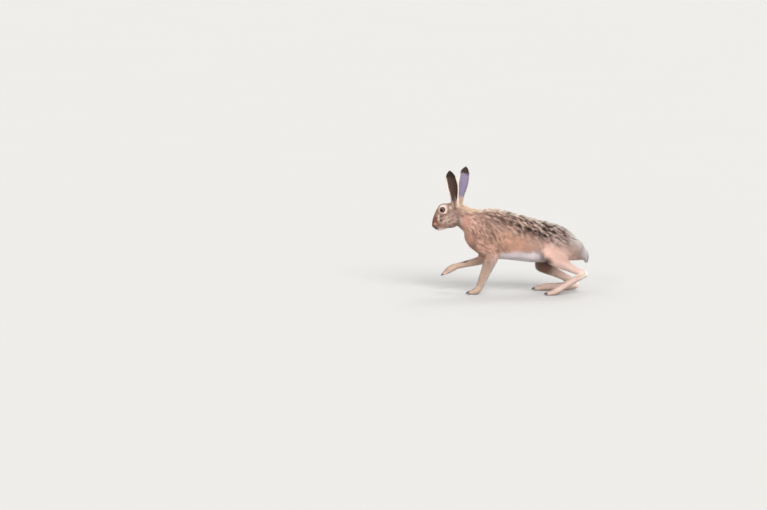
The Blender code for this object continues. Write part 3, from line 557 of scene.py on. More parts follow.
def fur_finish(name, colour_of):
    """The locks: each has one place's markings, darker at its root and with fine strands along it."""
    made = Markings(name, lambda f: f.attribute("root_place"))
    across, along, chance = made.parts_of(made.attribute("strand"))
    colour = colour_of(made, chance)
    c = colours()
    lift = made.ramp(along, 0.0, 0.6) * 0.16 + 0.84
    dark = made.mix(1.0 - lift, colour, c.brown)
    shift = chance * 0.30 + 0.86
    colour = made.node("ShaderNodeHueSaturation", {}, {"Value": shift, "Color": dark})
    lines = made.maths("SINE", across * 38.0 + chance * 20.0)
    bump = made.bump(lines, 0.35, 0.0002)
    dull = {"Roughness": 0.62, "Specular IOR Level": 0.2, "Sheen Weight": 0.04}
    return made.principled({"Base Color": colour, "Normal": bump, **dull})


def skin_finish(name, colour_of):
    """The skin between the locks: the same markings, darker, with a short nap."""
    made = Markings(name, lambda f: f.object_place())
    nap = made.noise(made.place, 900, 3.0, 0.6)
    colour = made.mix(0.25, colour_of(made, nap), colours().brown)
    bump = made.bump(nap, 0.6, 0.0006)
    return made.principled({"Base Color": colour, "Roughness": 0.85, "Specular IOR Level": 0.2, "Normal": bump})


def coat_finish():
    """The finish that all locks share but the ears'."""
    return bpy.data.materials.get("coat") or fur_finish("coat", Markings.coat)


def clay(form):
    """A bmesh from a solid or a modified object, merged and with its normals worked out."""
    bmesh.ops.remove_doubles(form, verts=form.verts, dist=1e-6)
    form.normal_update()
    return form


def put(name, mesh, finish):
    """A new object at the origin with this mesh and finish."""
    obj = bpy.data.objects.new(name, mesh)
    bpy.context.scene.collection.objects.link(obj)
    if finish:
        mesh.materials.clear()
        mesh.materials.append(finish)
    return obj


def mesh_of(form, name):
    mesh = bpy.data.meshes.new(name)
    form.to_mesh(mesh)
    form.free()
    return mesh


def modified(mesh, kind, **settings):
    """The mesh that one modifier makes of this one."""
    obj = put(mesh.name, mesh, None)
    modifier = obj.modifiers.new(kind, kind)
    for name, value in settings.items():
        setattr(modifier, name, value)
    made = bpy.data.meshes.new_from_object(obj.evaluated_get(bpy.context.evaluated_depsgraph_get()))
    bpy.data.objects.remove(obj)
    bpy.data.meshes.remove(mesh)
    return made


def read_out(collection, name, width=3, kind=np.float32):
    """One property of every item of a collection, as rows of this width."""
    got = np.zeros(len(collection) * width, kind)
    collection.foreach_get(name, got)
    return got.reshape(-1, width) if width > 1 else got


def places_of(mesh):
    return read_out(mesh.vertices, "co").astype(float)


def normals_of(mesh):
    return read_out(mesh.vertex_normals, "vector").astype(float)


def edges_of(mesh):
    return read_out(mesh.edges, "vertices", 2, np.int32)


def tree_of(mesh):
    return BVHTree.FromPolygons([v.co for v in mesh.vertices], [p.vertices for p in mesh.polygons])


def move_to(mesh, places):
    mesh.vertices.foreach_set("co", places.astype(np.float32).ravel())
    mesh.update()


def eased(places, edges, pull, rounds):
    """Every place drawn towards the middle of its neighbours, by its own pull."""
    first, second = edges.T
    count = len(places)
    beside = np.bincount(edges.ravel(), minlength=count)[:, None]
    for _ in range(rounds):
        total = [
            np.bincount(first, column[second], count) + np.bincount(second, column[first], count)
            for column in places.T
        ]
        places = places + pull[:, None] * (np.stack(total, axis=1) / beside - places)
    return places


def unit(vectors):
    return vectors / np.maximum(np.linalg.norm(vectors, axis=1, keepdims=True), 1e-12)


def ripple(places, size, seed):
    """A smooth number from -1 to 1 that varies over about this size."""
    draw = np.random.default_rng(seed)
    waves = draw.normal(size=(7, 3)) * 2.2 / size
    turns = draw.uniform(0, 2 * math.pi, 7)
    return np.sin(places @ waves.T + turns).mean(axis=1) * 1.6


def laid_down(ways, outs):
    """Ways turned down onto the skin."""
    return unit(ways - outs * (ways * outs).sum(axis=1)[:, None])


def from_eyes(places):
    """How far each place is from the nearer eye's centre."""
    return np.min([np.linalg.norm(places - np.array(EYE[side]), axis=1) for side in SIDES], axis=0)


def guides():
    """Every point along the lines of the lie: its place, its way and the hair's length there."""
    places, ways, lengths = [], [], []
    for name, line in LIE.items():
        for sign in (1, -1) if name.startswith("both") else (1,):
            points = np.array(line, float) * MM
            points[:, 1] *= sign
            for here, after in zip(points, points[1:]):
                for share in (0.0, 0.33, 0.67):
                    places.append(here[:3] * (1 - share) + after[:3] * share)
                    ways.append(after[:3] - here[:3])
                    lengths.append(here[3] * (1 - share) + after[3] * share)
    return np.array(places), unit(np.array(ways)), np.array(lengths)


GUIDES = guides()

# A guide counts by this power of its nearness, with this added to each distance. Places are taken in batches.
NEARNESS_POWER, ADDED_AWAY, BATCH = 5, 0.002, 8000


def lie_at(places):
    """The way and the length of the hair at each place, from the nearest guides."""
    spots, ways, lengths = GUIDES
    way_there = np.zeros((len(places), 3))
    length_there = np.zeros(len(places))
    for start in range(0, len(places), BATCH):
        some = slice(start, start + BATCH)
        away = np.linalg.norm(places[some, None, :] - spots[None], axis=2) + ADDED_AWAY
        weight = away**-NEARNESS_POWER
        weight /= weight.sum(axis=1, keepdims=True)
        way_there[some] = weight @ ways
        length_there[some] = weight @ lengths
    return unit(way_there), length_there


# The flesh solids are swollen by this much, so that they touch and fuse. The soles stay this far off the floor.
SWELL = 0.0004
OFF_FLOOR = 0.0004

# Skin with hair this short is hardly smoothed. Where hair is longer by the span, it is smoothed in full.
SHORT_HAIR, HAIR_SPAN = 0.004, 0.010

# The skin lies at least this deep under the solids, and deeper within this reach of an eye's centre.
LEAST_DEPTH = 0.001
EYE_REACH, EYE_SPAN, EYE_SLOPE = 0.0135, 0.0035, 0.9

# How many times the flesh is smoothed, and the skin, and by what share at least.
FLESH_ROUNDS, SKIN_ROUNDS = 36, 10
FLESH_LEAST, SKIN_LEAST = 0.03, 0.12


def smoothing(length, least):
    """How far each place is drawn to its neighbours, by the hair's length there."""
    return np.clip((length - SHORT_HAIR) / HAIR_SPAN, least, 1.0) * 0.5


def remeshed(mesh):
    return modified(mesh, "REMESH", mode="VOXEL", voxel_size=sizes().grain)


def skin_mesh():
    """The flesh solids as one mesh, smoothed, drawn in by the coat's depth and fused again."""
    form = bmesh.new()
    for name in [*FLESH, "eye_left", "eye_right"]:
        form.from_mesh(NODES[name].data)
    clay(form)
    for vert in form.verts:
        vert.co += vert.normal * SWELL
    mesh = remeshed(mesh_of(form, "flesh"))
    places = places_of(mesh)
    length = lie_at(places)[1]
    places = eased(places, edges_of(mesh), smoothing(length, FLESH_LEAST), FLESH_ROUNDS)
    move_to(mesh, places)
    round_eye = np.clip(EYE_REACH - from_eyes(places), 0.0, EYE_SPAN) * EYE_SLOPE + LEAST_DEPTH
    depth = np.maximum(length * sizes().depth, round_eye)
    places = places - normals_of(mesh) * depth[:, None]
    places[:, 2] = np.maximum(places[:, 2], OFF_FLOOR + 0.0002)
    move_to(mesh, places)
    mesh = remeshed(mesh)
    places = places_of(mesh)
    places = eased(places, edges_of(mesh), smoothing(lie_at(places)[1], SKIN_LEAST), SKIN_ROUNDS)
    places[:, 2] = np.maximum(places[:, 2], OFF_FLOOR)
    move_to(mesh, places)
    return mesh


def on_head(x, z):
    """The part of the head whose faces are made finer."""
    return (x < -0.198) & (z > 0.195)


def on_nose(x, z):
    """The part of the head whose faces are made finer once more."""
    return (x < -0.230) & (z < 0.236)


def refine(mesh, inside):
    """Cuts the faces that are inside in four."""
    form = bmesh.new()
    form.from_mesh(mesh)
    chosen = {face for face in form.faces if inside(*face.calc_center_median().xz)}
    edges = [edge for edge in form.edges if not chosen.isdisjoint(edge.link_faces)]
    bmesh.ops.subdivide_edges(form, edges=edges, cuts=1, use_grid_fill=True)
    form.normal_update()
    form.to_mesh(mesh)
    form.free()
    mesh.update()


# The creases of the nose and mouth: points, the sides that they are on, and width and depth, in millimetres.
Crease = namedtuple("Crease", "points sides width depth")
CREASES = (
    Crease(((-266, 0, 229), (-262, 0, 222), (-257, 0, 216)), (1,), 1.0, 1.3),
    Crease(((-266, 1.2, 229), (-265, 4, 231), (-261, 6.5, 231), (-258, 8, 228)), (1, -1), 1.1, 2.1),
    Crease(
        ((-257, 0, 216), (-252, 6, 215.5), (-246, 9, 216), (-239, 12, 218), (-233, 14, 220)), (1, -1), 0.9, 1.6
    ),
)


def away_from(points, places):
    """How far each place is from a line through these points."""
    best = np.full(len(places), 1e9)
    for start, end in zip(points, points[1:]):
        way = end - start
        share = np.clip(((places - start) @ way) / (way @ way), 0, 1)
        best = np.minimum(best, np.linalg.norm(places - start - share[:, None] * way, axis=1))
    return best


def crease_distances(mesh, places):
    """Each crease, laid on the skin, with how far every place is from it."""
    tree = tree_of(mesh)
    for crease in CREASES:
        for sign in crease.sides:
            spots = [Vector((x, y * sign, z)) * MM for x, y, z in crease.points]
            line = np.array([tuple(tree.find_nearest(spot)[0]) for spot in spots])
            yield crease, away_from(line, places)


def carve_face(mesh):
    """The nostrils, the cleft lip and the mouth, pressed into the skin."""
    places = places_of(mesh)
    dent = np.zeros(len(places))
    for crease, away in crease_distances(mesh, places):
        dent = np.maximum(dent, crease.depth * MM * np.exp(-((away / (crease.width * MM)) ** 2)))
    move_to(mesh, places - normals_of(mesh) * dent[:, None])


def part_of_faces(mesh):
    """The name of the coat's part that each face of the skin is in, by the nearest solid."""
    verts, faces, owner = [], [], []
    for number, name in enumerate(FLESH):
        data = NODES[name].data
        start = len(verts)
        verts.extend(v.co for v in data.vertices)
        faces.extend([[start + i for i in p.vertices] for p in data.polygons])
        owner.extend([number] * len(data.polygons))
    tree = BVHTree.FromPolygons(verts, faces)
    by_solid = {solid: [name for name, part in PARTS.items() if solid in part.solids] for solid in FLESH}
    names = list(PARTS)
    found = []
    for polygon in mesh.polygons:
        parts = by_solid[FLESH[owner[tree.find_nearest(polygon.center)[2]]]]
        found.append(names.index(parts[0 if polygon.center.y < 0 else -1]))
    return np.array(found)


def triangles_of(mesh):
    """The mesh as loose triangles: corners, and the face that each comes from."""
    mesh.calc_loop_triangles()
    corners = read_out(mesh.loop_triangles, "vertices", 3, np.int32)
    return corners, read_out(mesh.loop_triangles, "polygon_index", 1, np.int32)


def settled(corners):
    """The same triangles, in an order that is the same on every run also where a spun mesh's isn't."""
    lowest = corners.argmin(axis=1)[:, None]
    turned = np.take_along_axis(corners, (lowest + np.arange(3)) % 3, axis=1)
    return turned[np.lexsort(turned.T[::-1])]


def sown(places, normals, corners, number_per_area, draw):
    """Root places spread over triangles: how many each has follows its area. Gives places and normals."""
    a, b, c = (places[corners[:, i]] for i in range(3))
    area = np.linalg.norm(np.cross(b - a, c - a), axis=1) / 2
    wanted = np.cumsum(area * number_per_area)
    total = int(wanted[-1])
    marks = np.arange(total) + draw.uniform(0.0, 1.0, total) * 0.9
    picked = np.clip(np.searchsorted(wanted, marks), 0, len(corners) - 1)
    one, two = draw.uniform(size=total), draw.uniform(size=total)
    over = one + two > 1
    one[over], two[over] = 1 - one[over], 1 - two[over]
    weights = np.stack([1 - one - two, one, two], axis=1)[:, :, None]
    chosen = corners[picked]
    return (places[chosen] * weights).sum(axis=1), unit((normals[chosen] * weights).sum(axis=1))


# How far along a lock or whisker its rings lie, and how wide they are, as shares. One ring makes a cone.
Rings = namedtuple("Rings", "shares widths")
LOCK_RINGS = Rings((0.0,), (1.0,))
WHISKER_RINGS = Rings(
    (0.0, 0.12, 0.25, 0.38, 0.5, 0.62, 0.74, 0.86, 0.95), (1.0, 1.0, 0.92, 0.84, 0.74, 0.62, 0.48, 0.32, 0.16)
)

# How far a whisker or a lid's hair stands off at its tip, as a share of its length.
LEAN = 0.22

# How deep a root sits in the skin, and how high a ring is for its width.
ROOT_DEPTH = 0.0008
RING_HEIGHT = 0.75


def lock_arrays(roots, ways, outs, lengths, widths, rises, chances, rings=LOCK_RINGS):
    """Many tapered, three-sided locks: places, triangles and, for each vertex, its strand and its lock."""
    count = len(roots)
    sides = unit(np.cross(ways, outs))
    ups = unit(np.cross(sides, ways))
    per_lock = 3 * len(rings.shares) + 1
    places = np.zeros((count, per_lock, 3))
    strand = np.zeros((count, per_lock, 3))
    strand[:, :, 2] = chances[:, None]
    for number, (share, wide) in enumerate(zip(*rings)):
        middle = roots + ways * (lengths * share)[:, None] + outs * (rises * share * (2 - share))[:, None]
        middle = middle - outs * (ROOT_DEPTH * (share == 0))
        half = (widths * wide / 2)[:, None]
        for corner, offset in enumerate((-sides * half, ups * half * RING_HEIGHT, sides * half)):
            places[:, 3 * number + corner] = middle + offset
            strand[:, 3 * number + corner, :2] = corner / 2, share
    places[:, -1] = roots + ways * lengths[:, None] + outs * rises[:, None]
    strand[:, -1, :2] = 0.5, 1.0
    shape = [(0, 2, 1)]
    for low in range(0, per_lock - 4, 3):
        for i, j in ((0, 1), (1, 2), (2, 0)):
            shape += [(low + i, low + j, low + 3 + j), (low + i, low + 3 + j, low + 3 + i)]
    last = per_lock - 4
    shape += [(last + i, last + j, per_lock - 1) for i, j in ((0, 1), (1, 2), (2, 0))]
    triangles = (np.array(shape)[None] + (np.arange(count) * per_lock)[:, None, None]).reshape(-1, 3)
    lock_of = np.repeat(np.arange(count), per_lock)
    return places.reshape(-1, 3), triangles, strand.reshape(-1, 3), lock_of


def mesh_from_arrays(name, places, triangles):
    mesh = bpy.data.meshes.new(name)
    mesh.vertices.add(len(places))
    mesh.vertices.foreach_set("co", places.astype(np.float32).ravel())
    mesh.loops.add(len(triangles) * 3)
    mesh.loops.foreach_set("vertex_index", triangles.astype(np.int32).ravel())
    mesh.polygons.add(len(triangles))
    mesh.polygons.foreach_set("loop_start", np.arange(len(triangles), dtype=np.int32) * 3)
    mesh.polygons.foreach_set("use_smooth", np.ones(len(triangles), bool))
    mesh.update(calc_edges=True)
    return mesh


def keep_vectors(mesh, name, values):
    attribute = mesh.attributes.new(name, "FLOAT_VECTOR", "POINT")
    attribute.data.foreach_set("vector", values.astype(np.float32).ravel())


# How wide each lock's patch is on the map for baking.
PATCH = 0.003


def bake_map(mesh, strand, spots):
    """Each lock's own patch, at its root's place on the unwrapped skin."""
    layer = mesh.uv_layers.new(name="OFBake")
    local = (strand[:, :2] - 0.5) * PATCH
    flat = np.clip(spots + local, 0.0, 1.0)
    corners = read_out(mesh.loops, "vertex_index", 1, np.int32)
    layer.data.foreach_set("uv", flat[corners].astype(np.float32).ravel())


# A stretch of skin with more faces is made coarser to this many before it is unfolded.
UNFOLDED_FACES = 3000


def unwrapped(places, corners, roots):
    """Where each root lies on a coarser copy of this stretch of skin, unfolded by its angles."""
    used, fresh = np.unique(corners, return_inverse=True)
    mesh = mesh_from_arrays("unfolding", places[used], fresh.reshape(-1, 3))
    if len(corners) > UNFOLDED_FACES:
        mesh = modified(mesh, "DECIMATE", ratio=UNFOLDED_FACES / len(corners))
    obj = put("unfolding", mesh, None)
    bpy.context.view_layer.objects.active = obj
    obj.select_set(True)
    bpy.ops.object.mode_set(mode="EDIT")
    bpy.ops.mesh.select_all(action="SELECT")
    bpy.ops.uv.smart_project(angle_limit=math.radians(70), island_margin=0.006)
    bpy.ops.object.mode_set(mode="OBJECT")
    mesh = obj.data
    flat = read_out(mesh.uv_layers.active.data, "uv", 2)
    spots = places_of(mesh)
    turned = triangles_of(mesh)[0]
    loops = read_out(mesh.loop_triangles, "loops", 3, np.int32)
    tree = BVHTree.FromPolygons(spots.tolist(), turned.tolist())
    found = [tree.find_nearest(root) for root in roots]
    hits = np.array([tuple(hit[0]) for hit in found])
    numbers = [hit[2] for hit in found]
    a, b, c = (spots[turned[numbers, i]] for i in range(3))
    whole = np.maximum(np.linalg.norm(np.cross(b - a, c - a), axis=1), 1e-14)
    share_a = np.linalg.norm(np.cross(b - hits, c - hits), axis=1) / whole
    share_b = np.linalg.norm(np.cross(c - hits, a - hits), axis=1) / whole
    share_c = np.clip(1 - share_a - share_b, 0, 1)
    corners_flat = flat[loops[numbers]]
    bpy.data.objects.remove(obj)
    return sum(corners_flat[:, i] * share[:, None] for i, share in enumerate((share_a, share_b, share_c)))


HAIR_OFF_FLOOR = 0.0002


def lock_piece(name, finish, slot, roots, arrays, spots, extra=None):
    """One piece of coat from lock arrays, with its roots, its strands and its map for baking."""
    places, triangles, strand, lock_of = arrays
    places[:, 2] = np.maximum(places[:, 2], HAIR_OFF_FLOOR)
    mesh = mesh_from_arrays(name, places, triangles)
    mesh.materials.append(finish)
    keep_vectors(mesh, "root_place", roots[lock_of])
    keep_vectors(mesh, "strand", strand)
    if extra is not None:
        keep_vectors(mesh, "ear_place", extra[lock_of])
    bake_map(mesh, strand, spots[lock_of])
    obj = put(name, mesh, None)
    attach(obj, "root")
    return obj


# Four triangles a lock keep a piece under 200,000.
MOST_LOCKS = 48000

# Locks by their length in millimetres: their mean width where they are sown, and how many lie over each other.
SOWN_WIDTH = (0.36, 0.028)
OVERLAP = (1.7, 0.22)
MEAN_LENGTH = 0.6

# How locks vary in length, in how far they stand off and in width, as shares.
LENGTHS, RISES, WIDTHS = (0.62, 1.05), (0.60, 1.15), (0.65, 1.2)

# Guard hairs are this share of all, and so much longer, higher and thinner than the rest.
GUARD_SHARE, GUARD_LONG, GUARD_HIGH, GUARD_THIN = 0.07, 1.3, 1.2, 0.7

# A lock's width at its root: this much, and so much more for its length.
LEAST_WIDTH, WIDTH_BY_LENGTH = 0.00034, 0.030

# No lock grows this near an eye's centre, a crease of the face, or the floor where the skin looks down so much.
BARE_BY_EYE, BARE_BY_CREASE, BARE_BY_FLOOR = 0.0101, 0.0010, 0.0012
LOOKS_DOWN = -0.6

# Hair stands up along an ear within this reach of its root.
EAR_REACH = 0.016

# How far locks turn from the lie: each by itself, in radians, and in waves of this size.
OWN_TURN, WAVE_TURN, WAVE_SIZE = 0.17, 0.24, 0.014


def turned_ways(ways, outs, angle):
    """Ways turned about their outs by an angle each."""
    beside = np.cross(outs, ways)
    return ways * np.cos(angle)[:, None] + beside * np.sin(angle)[:, None]


def cover_part(name, part, mesh, places, normals, corners, finish, seed):
    """All the locks of one part of the coat."""
    draw = np.random.default_rng(seed)
    length = lie_at(places[corners].mean(axis=1))[1] / MM
    width = SOWN_WIDTH[0] + SOWN_WIDTH[1] * length
    overlap = OVERLAP[0] + OVERLAP[1] * length
    number = overlap / (MEAN_LENGTH * length * width) * sizes().fullness / MM**2
    roots, outs = sown(places, normals, corners, number, draw)
    keep = (from_eyes(roots) > BARE_BY_EYE) & ~((roots[:, 2] < BARE_BY_FLOOR) & (outs[:, 2] < LOOKS_DOWN))
    if name == "head":
        for _, away in crease_distances(mesh, roots):
            keep &= away > BARE_BY_CREASE
    roots, outs = roots[keep], outs[keep]
    ways, lengths = lie_at(roots)
    for ear in EARS.values():
        away = np.linalg.norm(roots - np.array(ear.root), axis=1)
        near_ear = np.clip(1.5 - away / EAR_REACH, 0, 1)[:, None]
        ways = unit(ways * (1 - near_ear) + np.array(ear.lean) * near_ear)
    count = len(roots)
    turn = draw.normal(0, OWN_TURN, count) + ripple(roots, WAVE_SIZE, seed + 1) * WAVE_TURN
    ways = turned_ways(laid_down(ways, outs), outs, turn)
    guard = draw.uniform(size=count) < GUARD_SHARE
    lengths = lengths * draw.uniform(*LENGTHS, count) * np.where(guard, GUARD_LONG, 1.0)
    rises = lengths * (sizes().depth * draw.uniform(*RISES, count)) * np.where(guard, GUARD_HIGH, 1.0)
    widths = LEAST_WIDTH + WIDTH_BY_LENGTH * lengths
    widths = widths * draw.uniform(*WIDTHS, count) * np.where(guard, GUARD_THIN, 1.0)
    chances = draw.uniform(size=count)
    spots = unwrapped(places, corners, roots)
    order = np.argsort(roots[:, 0] + roots[:, 2] * 0.3)
    pieces = math.ceil(count / MOST_LOCKS)
    for piece in range(pieces):
        some = order[count * piece // pieces : count * (piece + 1) // pieces]
        arrays = lock_arrays(*(values[some] for values in (roots, ways, outs, lengths, widths, rises, chances)))
        label = f"coat_{name}" if pieces == 1 else f"coat_{name}_{piece + 1}"
        lock_piece(label, finish, part.slot, roots[some], arrays, spots[some])


class HARE_OT_skin(bpy.types.Operator):
    """The skin under the coat, in one piece from nose to tail, with its nostrils and mouth"""

    bl_idname = "hare.skin"
    bl_label = "Skin"

    def execute(self, context):
        mesh = skin_mesh()
        refine(mesh, on_head)
        refine(mesh, on_nose)
        places = places_of(mesh)
        pull = on_head(places[:, 0], places[:, 2]) * 0.5
        move_to(mesh, eased(places, edges_of(mesh), pull, 5))
        carve_face(mesh)
        mesh.shade_smooth()
        mesh.name = "skin"
        skin = put("skin", mesh, skin_finish("skin", Markings.coat))
        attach(skin, "root")
        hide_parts(*FLESH)
        return {"FINISHED"}


class HARE_OT_coat(bpy.types.Operator):
    """The coat, lock by lock, lying back from the nose to the tail and down each leg"""

    bl_idname = "hare.coat"
    bl_label = "Coat"

    def execute(self, context):
        mesh = bpy.data.objects["skin"].data
        places, normals = places_of(mesh), normals_of(mesh)
        corners, faces = triangles_of(mesh)
        owner = part_of_faces(mesh)[faces]
        finish = coat_finish()
        for number, (name, part) in enumerate(PARTS.items()):
            mine = corners[owner == number]
            cover_part(name, part, mesh, places, normals, mine, finish, sizes().seed + 10 * number)
        return {"FINISHED"}


# Bands that an ear is cut into, to find its middle line and its width: in all, to its length, and below its root.
BANDS, BANDS_PER_EAR, BANDS_BELOW = 48, 40, 6

# Hairs of an ear per square millimetre: on its inner face, on its back, and more at its rim and its base.
EAR_INNER, EAR_BACK, EAR_RIM, EAR_BASE = 1.0, 1.8, 1.4, 1.8

# The length of an ear's hair, how much longer it is at the rim and at the base, and its least width.
EAR_HAIR, RIM_HAIR, BASE_HAIR = 0.0030, 0.0022, 0.007
EAR_WIDTH = 0.00036

# How far an ear's hair leans outwards at the rim, how it varies in length and width, and how far it stands off.
RIM_LEAN, EAR_VARIES, EAR_RISES = 0.35, (0.7, 1.2), (0.12, 0.26)

# How far the hair of ears and lids turns by itself, in radians.
SHORT_TURN = 0.2


def ear_places(side, places, normals):
    """For each place on an ear: how far along it, 1 on its inner face, and how near the rim."""
    ear = EARS[side]
    along = ((places - np.array(ear.root)) @ np.array(ear.lean)) / EAR_LENGTH
    across = ear.lean.cross(ear.opens).normalized()
    bins = np.clip((along * BANDS_PER_EAR + BANDS_BELOW).astype(int), 0, BANDS - 1)
    centres = np.zeros((BANDS, 3))
    half = np.full(BANDS, 0.006)
    side_way = places @ np.array(across)
    for number in range(BANDS):
        near = np.abs(bins - number) <= 1
        if near.any():
            centres[number] = places[near].mean(axis=0)
            half[number] = max(np.ptp(side_way[near]) / 2, 0.004)
    inward = (normals * (centres[bins] - places)).sum(axis=1)
    inside = (inward > 0).astype(float)
    rim = np.abs(side_way - centres[bins] @ np.array(across)) / half[bins]
    return np.stack([along, inside, rim], axis=1)


class HARE_OT_ears(bpy.types.Operator):
    """Both ears: their thin cups, and the very short hair on them with its fringe along the rim"""

    bl_idname = "hare.ears"
    bl_label = "Ears"

    def execute(self, context):
        skin = skin_finish("ear_skin", Markings.ear)
        fur = fur_finish("ear_fur", Markings.ear)
        for side in SIDES:
            form = bmesh.new()
            form.from_mesh(NODES[f"ear_{side}"].data)
            clay(form)
            bmesh.ops.join_triangles(
                form,
                faces=form.faces,
                angle_face_threshold=math.radians(40),
                angle_shape_threshold=math.radians(60),
            )
            mesh = modified(mesh_of(form, f"ear_{side}_skin"), "SUBSURF", levels=2, render_levels=2)
            places = places_of(mesh)
            move_to(mesh, eased(places, edges_of(mesh), np.full(len(places), 0.4), 4))
            mesh.shade_smooth()
            places, normals = places_of(mesh), normals_of(mesh)
            keep_vectors(mesh, "ear_place", ear_places(side, places, normals))
            cup = put(f"ear_{side}_skin", mesh, skin)
            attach(cup, "root")
            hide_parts(f"ear_{side}")
            self.dress(side, places, normals, mesh, fur)
        return {"FINISHED"}

    def dress(self, side, places, normals, mesh, fur):
        """An ear's hair, longest at its base and along its rim, where it leans outwards."""
        ear = EARS[side]
        draw = np.random.default_rng(sizes().seed + 200 + SIGN[side])
        corners = triangles_of(mesh)[0]
        where = ear_places(side, places[corners].mean(axis=1), normals[corners].mean(axis=1))
        edge = np.clip((where[:, 2] - 0.7) / 0.25, 0, 1)
        low = np.clip(1 - where[:, 0] / 0.25, 0, 1)
        number = np.where(where[:, 1] > 0.5, EAR_INNER, EAR_BACK) + edge * EAR_RIM + low * EAR_BASE
        roots, outs = sown(places, normals, corners, number * sizes().fullness / MM**2, draw)
        where = ear_places(side, roots, outs)
        count = len(roots)
        ways = laid_down(np.repeat(np.array(ear.lean)[None], count, axis=0), outs)
        across = np.array(ear.lean.cross(ear.opens).normalized())
        edge = np.clip((where[:, 2] - 0.75) / 0.25, 0, 1)
        base = np.clip(1 - where[:, 0] / 0.22, 0, 1)
        spread = np.sign((roots - places.mean(axis=0)) @ across)
        ways = unit(ways + across * (spread * edge * RIM_LEAN)[:, None])
        ways = turned_ways(ways, outs, draw.normal(0, SHORT_TURN, count))
        lengths = (EAR_HAIR + RIM_HAIR * edge + BASE_HAIR * base) * draw.uniform(*EAR_VARIES, count)
        widths = (EAR_WIDTH + WIDTH_BY_LENGTH * lengths) * draw.uniform(*EAR_VARIES, count)
        rises = lengths * draw.uniform(*EAR_RISES, count)
        arrays = lock_arrays(roots, ways, outs, lengths, widths, rises, draw.uniform(size=count))
        spots = unwrapped(places, corners, roots)
        lock_piece(f"ear_{side}_coat", fur, "ear_fur", roots, arrays, spots, where)


def eye_finish(side):
    """A wet, reddish brown eye: a wide dark pupil, streaks across the iris and a dark rim."""
    c = colours()
    made = Finish(f"eye_{side}")
    eye = eye_axes(side)
    away = made.vector("NORMALIZE", made.vector("SUBTRACT", made.object_place(), eye.centre))
    along, up, facing = (made.vector("DOT_PRODUCT", away, way, output=1) for way in eye[1:])
    turn = made.maths("ARCTAN2", up, along)
    streaks = made.noise(made.joined(turn * 6.0, facing * 3.0, 0.0), 3.0, 3.0, 0.6)
    iris = made.mix(made.ramp(streaks, 0.35, 0.65), c.iris, [v * 0.42 for v in c.iris])
    outer = made.ramp(facing, 0.72, 0.60)
    colour = made.mix(outer * 0.9, iris, c.black)
    round_off = (along * along) * 0.82 + (up * up) * 1.15
    pupil = made.ramp(round_off, 0.235, 0.180)
    colour = made.mix(pupil, colour, (0.003, 0.003, 0.003))
    return made.principled(
        {
            "Base Color": colour, "Roughness": 0.4, "Specular IOR Level": 0.05,
            "Coat Weight": 1.0, "Coat Roughness": 0.02, "Coat IOR": 1.28,
        }
    )


def lid_finish():
    """Dark skin at the eye's edge that turns to the cheek's brown behind."""
    c = colours()
    made = Finish("eyelid")
    place = made.object_place()
    x, y, z = made.parts_of(place)
    eye = eye_axes("right")
    away = made.vector("SUBTRACT", made.joined(x, made.maths("ABSOLUTE", y), z), eye.centre)
    facing = made.vector("DOT_PRODUCT", made.vector("NORMALIZE", away), eye.looks, output=1)
    fine = made.noise(place, 700, 3.0, 0.6)
    colour = made.mix(made.ramp(facing + (fine - 0.5) * 0.1, 0.0, 0.2), c.face, c.brown)
    bump = made.bump(fine, 0.4, 0.0003)
    return made.principled({"Base Color": colour, "Roughness": 0.7, "Specular IOR Level": 0.2, "Normal": bump})


# The cornea rises over this much of the ball, by this share of its radius.
CORNEA_REACH, CORNEA_RISE = math.radians(48), 0.045

# The lid's section: degrees back from the middle of the opening, and how far off the eye's centre, in radii.
LID_SECTION = (
    (61, 0.985), (58, 1.005), (58, 1.03), (62, 1.05), (70, 1.06),
    (80, 1.05), (90, 1.01), (100, 0.95), (84, 0.92),
)

# The lids' hair: how many a square millimetre, and their lengths and widths.
LID_HAIRS, LID_HAIR_LENGTHS, LID_HAIR_WIDTHS = 5.5, (0.0016, 0.0028), (0.0003, 0.0004)

# It grows past this angle from the middle of the opening, this many radii off the eye's centre or more, and no
# further behind it than this share of a radius.
BARE_MARGIN, LID_OUTSIDE, LID_BACK = math.radians(64), 1.015, -0.12

# The lids' opening: how much longer it is along the slit, how much lower at its top, and how far its corners
# lie back, as shares of the eye's radius.
OPEN_LONG, OPEN_LOW, CORNERS_BACK = 0.13, 0.05, 0.10


def eye_mesh(form, eye, name):
    """A smooth mesh in the eye's place of a form that was made about the origin, looking up."""
    turn = Matrix((eye.slit, eye.rise, eye.looks)).transposed().to_4x4()
    bmesh.ops.transform(form, matrix=Matrix.Translation(eye.centre) @ turn, verts=form.verts)
    bmesh.ops.recalc_face_normals(form, faces=form.faces)
    mesh = mesh_of(form, name)
    mesh.shade_smooth()
    return mesh


